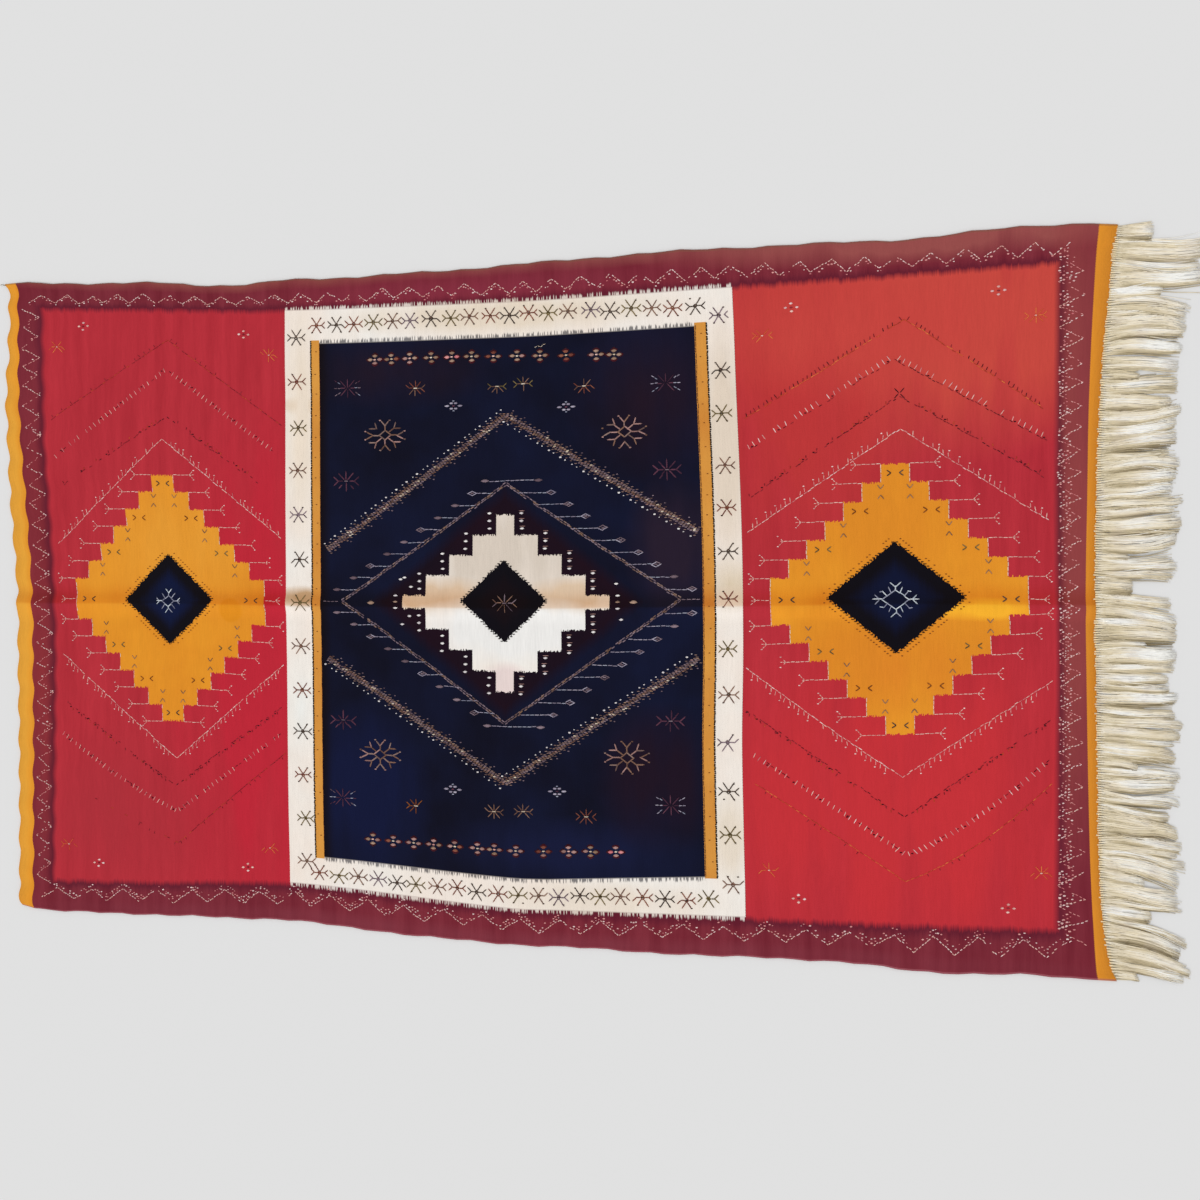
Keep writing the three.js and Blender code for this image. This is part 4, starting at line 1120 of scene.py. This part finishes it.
def fringeStrands():
    half = fringe["halfWidth"]
    widths = []
    while sum(widths) < 2 * half:
        widths.append(random.uniform(*fringe["lockWidth"]))
    widths = np.array(widths) * 2 * half / sum(widths)
    edges = np.cumsum(widths) - half
    middles = edges - widths / 2
    locks = len(widths)
    reaches = fringe["reach"] + random.normal(0, fringe["reachSpread"], locks)
    for q, reach in unevenLocks.items():
        reaches[np.argmin(np.abs(middles - q))] = reach
    tipWidth, tilt = random.uniform(0.5, 1.1, locks), random.normal(0, 6, locks)
    sway, swayLength = random.uniform(1, 5, locks), random.uniform(0.7, 1.5, locks)
    swayStart = random.uniform(0, turn, locks)
    lift, lockTone = random.uniform(0, 2.4, locks), random.uniform(-0.16, 0.1, locks)
    lockHighlight, lockHighlightAt = random.uniform(0.1, 0.55, locks), random.uniform(0.25, 0.8, locks)

    ends = fringe["ends"]
    root = np.sort(random.uniform(-half, half, ends))
    lock = np.clip(np.searchsorted(edges, root), 0, locks - 1)
    t = np.array(fringe["steps"])[None, :]
    across = (root - middles[lock]) / (widths[lock] / 2) + random.normal(0, 0.13, ends)
    own = reaches[lock] * (1 - 0.16 * random.random(ends) ** 2 - 0.04 * np.minimum(across ** 2, 1.5))
    own *= np.where(random.random(ends) < fringe["broken"], fringe["brokenReach"], 1)
    far = np.clip(t * own[:, None] / fringe["reach"], 0, 1.15)
    layer = random.random(ends) ** 0.6
    isLoose = random.random(ends) < fringe["loose"]

    atEdge = np.full(ends, float(lie["halfLength"]))
    edgeX, rootY = layOut(atEdge, root)
    lockY = layOut(atEdge, middles[lock])[1]
    tooth = np.round(root / fringe["toothPitch"]).astype(int)
    toothTone = random.normal(0, 1, tooth.max() - tooth.min() + 1)[tooth - tooth.min()][:, None]
    toothY = layOut(atEdge, tooth * fringe["toothPitch"])[1]
    inTooth = random.random(ends) < fringe["inTooth"]
    gather = np.clip(far / fringe["gatheredBy"], 0, 1)
    gather = gather * gather * (3 - 2 * gather)
    spread = np.where(far < 0.5, 1 + 0.1 * far, 1.05 + (tipWidth[lock][:, None] - 1.05) * (far - 0.5) * 2)
    y = rootY[:, None] * (1 - gather) + (lockY + 0 * across)[:, None] * gather
    y += (across * widths[lock] / 2)[:, None] * spread * gather
    y += ((toothY - rootY) * np.where(inTooth, *fringe["toothPull"]))[:, None] * np.clip(1 - far / 0.16, 0, 1)
    drift = (driftLine(middles[lock]) + tilt[lock])[:, None] * far ** 1.2
    y += drift + bowLine(middles[lock])[:, None] * np.sin(math.pi * np.minimum(far, 1.1))
    swayed = np.sin(turn * far / swayLength[lock][:, None] + swayStart[lock][:, None])
    y += sway[lock][:, None] * far ** 0.8 * swayed
    looseDrift = random.normal(0, fringe["looseDrift"], ends)
    ownDrift = random.normal(0, fringe["ownDrift"], ends)
    y += np.where(isLoose, looseDrift, ownDrift)[:, None] * far ** 1.2
    y += random.normal(0, 0.22, y.shape) * gather
    x = edgeX[:, None] + t * own[:, None] + np.where(t < 0, 1.2 * toothTone, 0)
    pile = np.interp(far, (0, 0.5, 1), fringe["pile"])
    dome = np.sqrt(np.clip(1 - across ** 2, 0.06, 1)) * layer
    lifted = lift[lock][:, None] * np.sin(math.pi * np.minimum(far, 1))
    z = 0.75 + (pile - 1.4) * dome[:, None] * (0.3 + 0.7 * gather) + lifted
    z = np.maximum(z, np.interp(t, *fringe["rootHeight"]) - 0.5 * ~inTooth[:, None])
    thick = np.interp(t, (0, 0.5, 1), fringe["radius"]) * random.uniform(0.85, 1.15, ends)[:, None]
    corners = [np.stack([x, y + thick * math.cos(a), z + 0.85 * thick * math.sin(a)], axis=2)
               for a in (math.pi / 2, math.pi * 7 / 6, math.pi * 11 / 6)]
    points = np.stack(corners, axis=2).reshape(ends, -1, 3) + np.array([shiftX, shiftY, 0])
    points[:, :, 2] = np.maximum(points[:, :, 2], fringe["lowest"])

    # Each lock carries a painted highlight on its upper side and painted shade along its lower edge, and fine
    # stripes show at the roots, where the strands between the teeth are painted darker as shade between them.
    # Shade runs from 0, the darkest of the fringe's tones, to 1
    paintedHighlight = lockHighlight[lock][:, None] * hump((far - lockHighlightAt[lock][:, None]) / 0.5)
    paintedHighlight = paintedHighlight * hump((across - 0.25) / 1.1)[:, None]
    sunlit = np.interp(across, *fringe["sunlit"])[:, None]
    # a tone along the lock: a little darker near the roots and lighter towards the tips
    toneAlong = np.interp(far, *fringe["toneAlong"])
    stripe = np.interp(far, *fringe["stripe"]) * (toothTone + 0.6 * random.normal(0, 1, (ends, 1)))
    # strands between the teeth: painted shade at the roots
    stripe += np.where(inTooth, 0.12, -0.3)[:, None] * np.clip(1 - far / 0.3, 0, 1)
    shade = 0.5 * (1 - gather) + sunlit * gather + paintedHighlight + stripe - toneAlong
    # lockTone is each lock's own tone; strands on top of the pile are painted a little lighter, as painted
    # light
    shade = shade + lockTone[lock][:, None] * gather + 0.06 * layer[:, None]
    stops = [at for at, colour in fringeTones]
    colours = np.array([linear(colour)[:3] for at, colour in fringeTones])
    dyed = np.stack([np.interp(shade, stops, colours[:, channel]) for channel in range(3)], axis=2)
    rootHighlight = ((t < 0.02) & inTooth[:, None])[:, :, None]  # the roots of the teeth are painted a bright peach: a painted highlight
    dyed = np.where(rootHighlight, np.array(linear("#ffe9bf")[:3]), dyed)
    return points, np.repeat(dyed, 3, axis=1)


strandRings = len(fringe["steps"]) - 1
strandFaces = []
for ring in range(strandRings):
    for side in range(3):
        a, b = 3 * ring + side, 3 * ring + (side + 1) % 3
        strandFaces.append([a, a + 3, b + 3, b])
strandFaces += [[0, 1, 2], [3 * strandRings + 2, 3 * strandRings + 1, 3 * strandRings]]


def undyedWool():
    material, tree, shader = startMaterial("undyed ivory warp wool", 0.85, 0.04)
    dyed = addNode(tree, "ShaderNodeAttribute", output="Color", attribute_name="dyed")
    where = addNode(tree, "ShaderNodeTexCoord", output="Object")
    stretched = addNode(tree, "ShaderNodeMapping", {0: where, "Scale": (60, 700, 300)})
    fibre = addNode(tree, "ShaderNodeTexNoise", {"Vector": stretched, "Scale": 1.0, "Detail": 3.0})
    tone = addNode(tree, "ShaderNodeMapRange", {0: fibre, 1: 0.3, 2: 0.7, 3: 0.95, 4: 1.1})
    soft = addNode(tree, "ShaderNodeTexNoise", {"Vector": where, "Scale": 26.0, "Detail": 2.0})
    soft = addNode(tree, "ShaderNodeMapRange", {0: soft, 1: 0.5, 2: 0.7, 3: 0.0, 4: 0.2})
    colour = addNode(tree, "ShaderNodeMix", {0: soft, 6: dyed, 7: linear("#cbbeb6")}, **colourMix)
    colour = addNode(tree, "ShaderNodeHueSaturation", {"Value": tone, "Color": colour})
    tree.links.new(colour, shader.inputs["Base Color"])
    bump = addNode(tree, "ShaderNodeBump", {"Height": fibre, "Strength": 0.3, "Distance": 0.0008})
    tree.links.new(bump, shader.inputs["Normal"])
    return material


strandPoints, strandColours = fringeStrands()
warpWool = undyedWool()
fringePieces = []
for part in range(2):
    chosen = slice(part, None, 2)
    count = len(strandPoints[chosen])
    columns = math.ceil(math.sqrt(count * 12))
    piece = joinedCopies("warpEnds" + "AB"[part], strandPoints[chosen], strandFaces,
                         sideMap(strandFaces, strandRings), (columns, math.ceil(count / columns)),
                         strandColours[chosen], warpWool)
    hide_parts("warp_fringe")
    fringePieces.append(piece)
print("fringe:", len(strandPoints), "warp ends")

total = 0
for piece in [wovenCloth, *stitchPieces, *fringePieces]:
    piece.data.calc_loop_triangles()
    total += len(piece.data.loop_triangles)
    print(piece.name, len(piece.data.loop_triangles), "triangles")
print("triangles in all:", total)
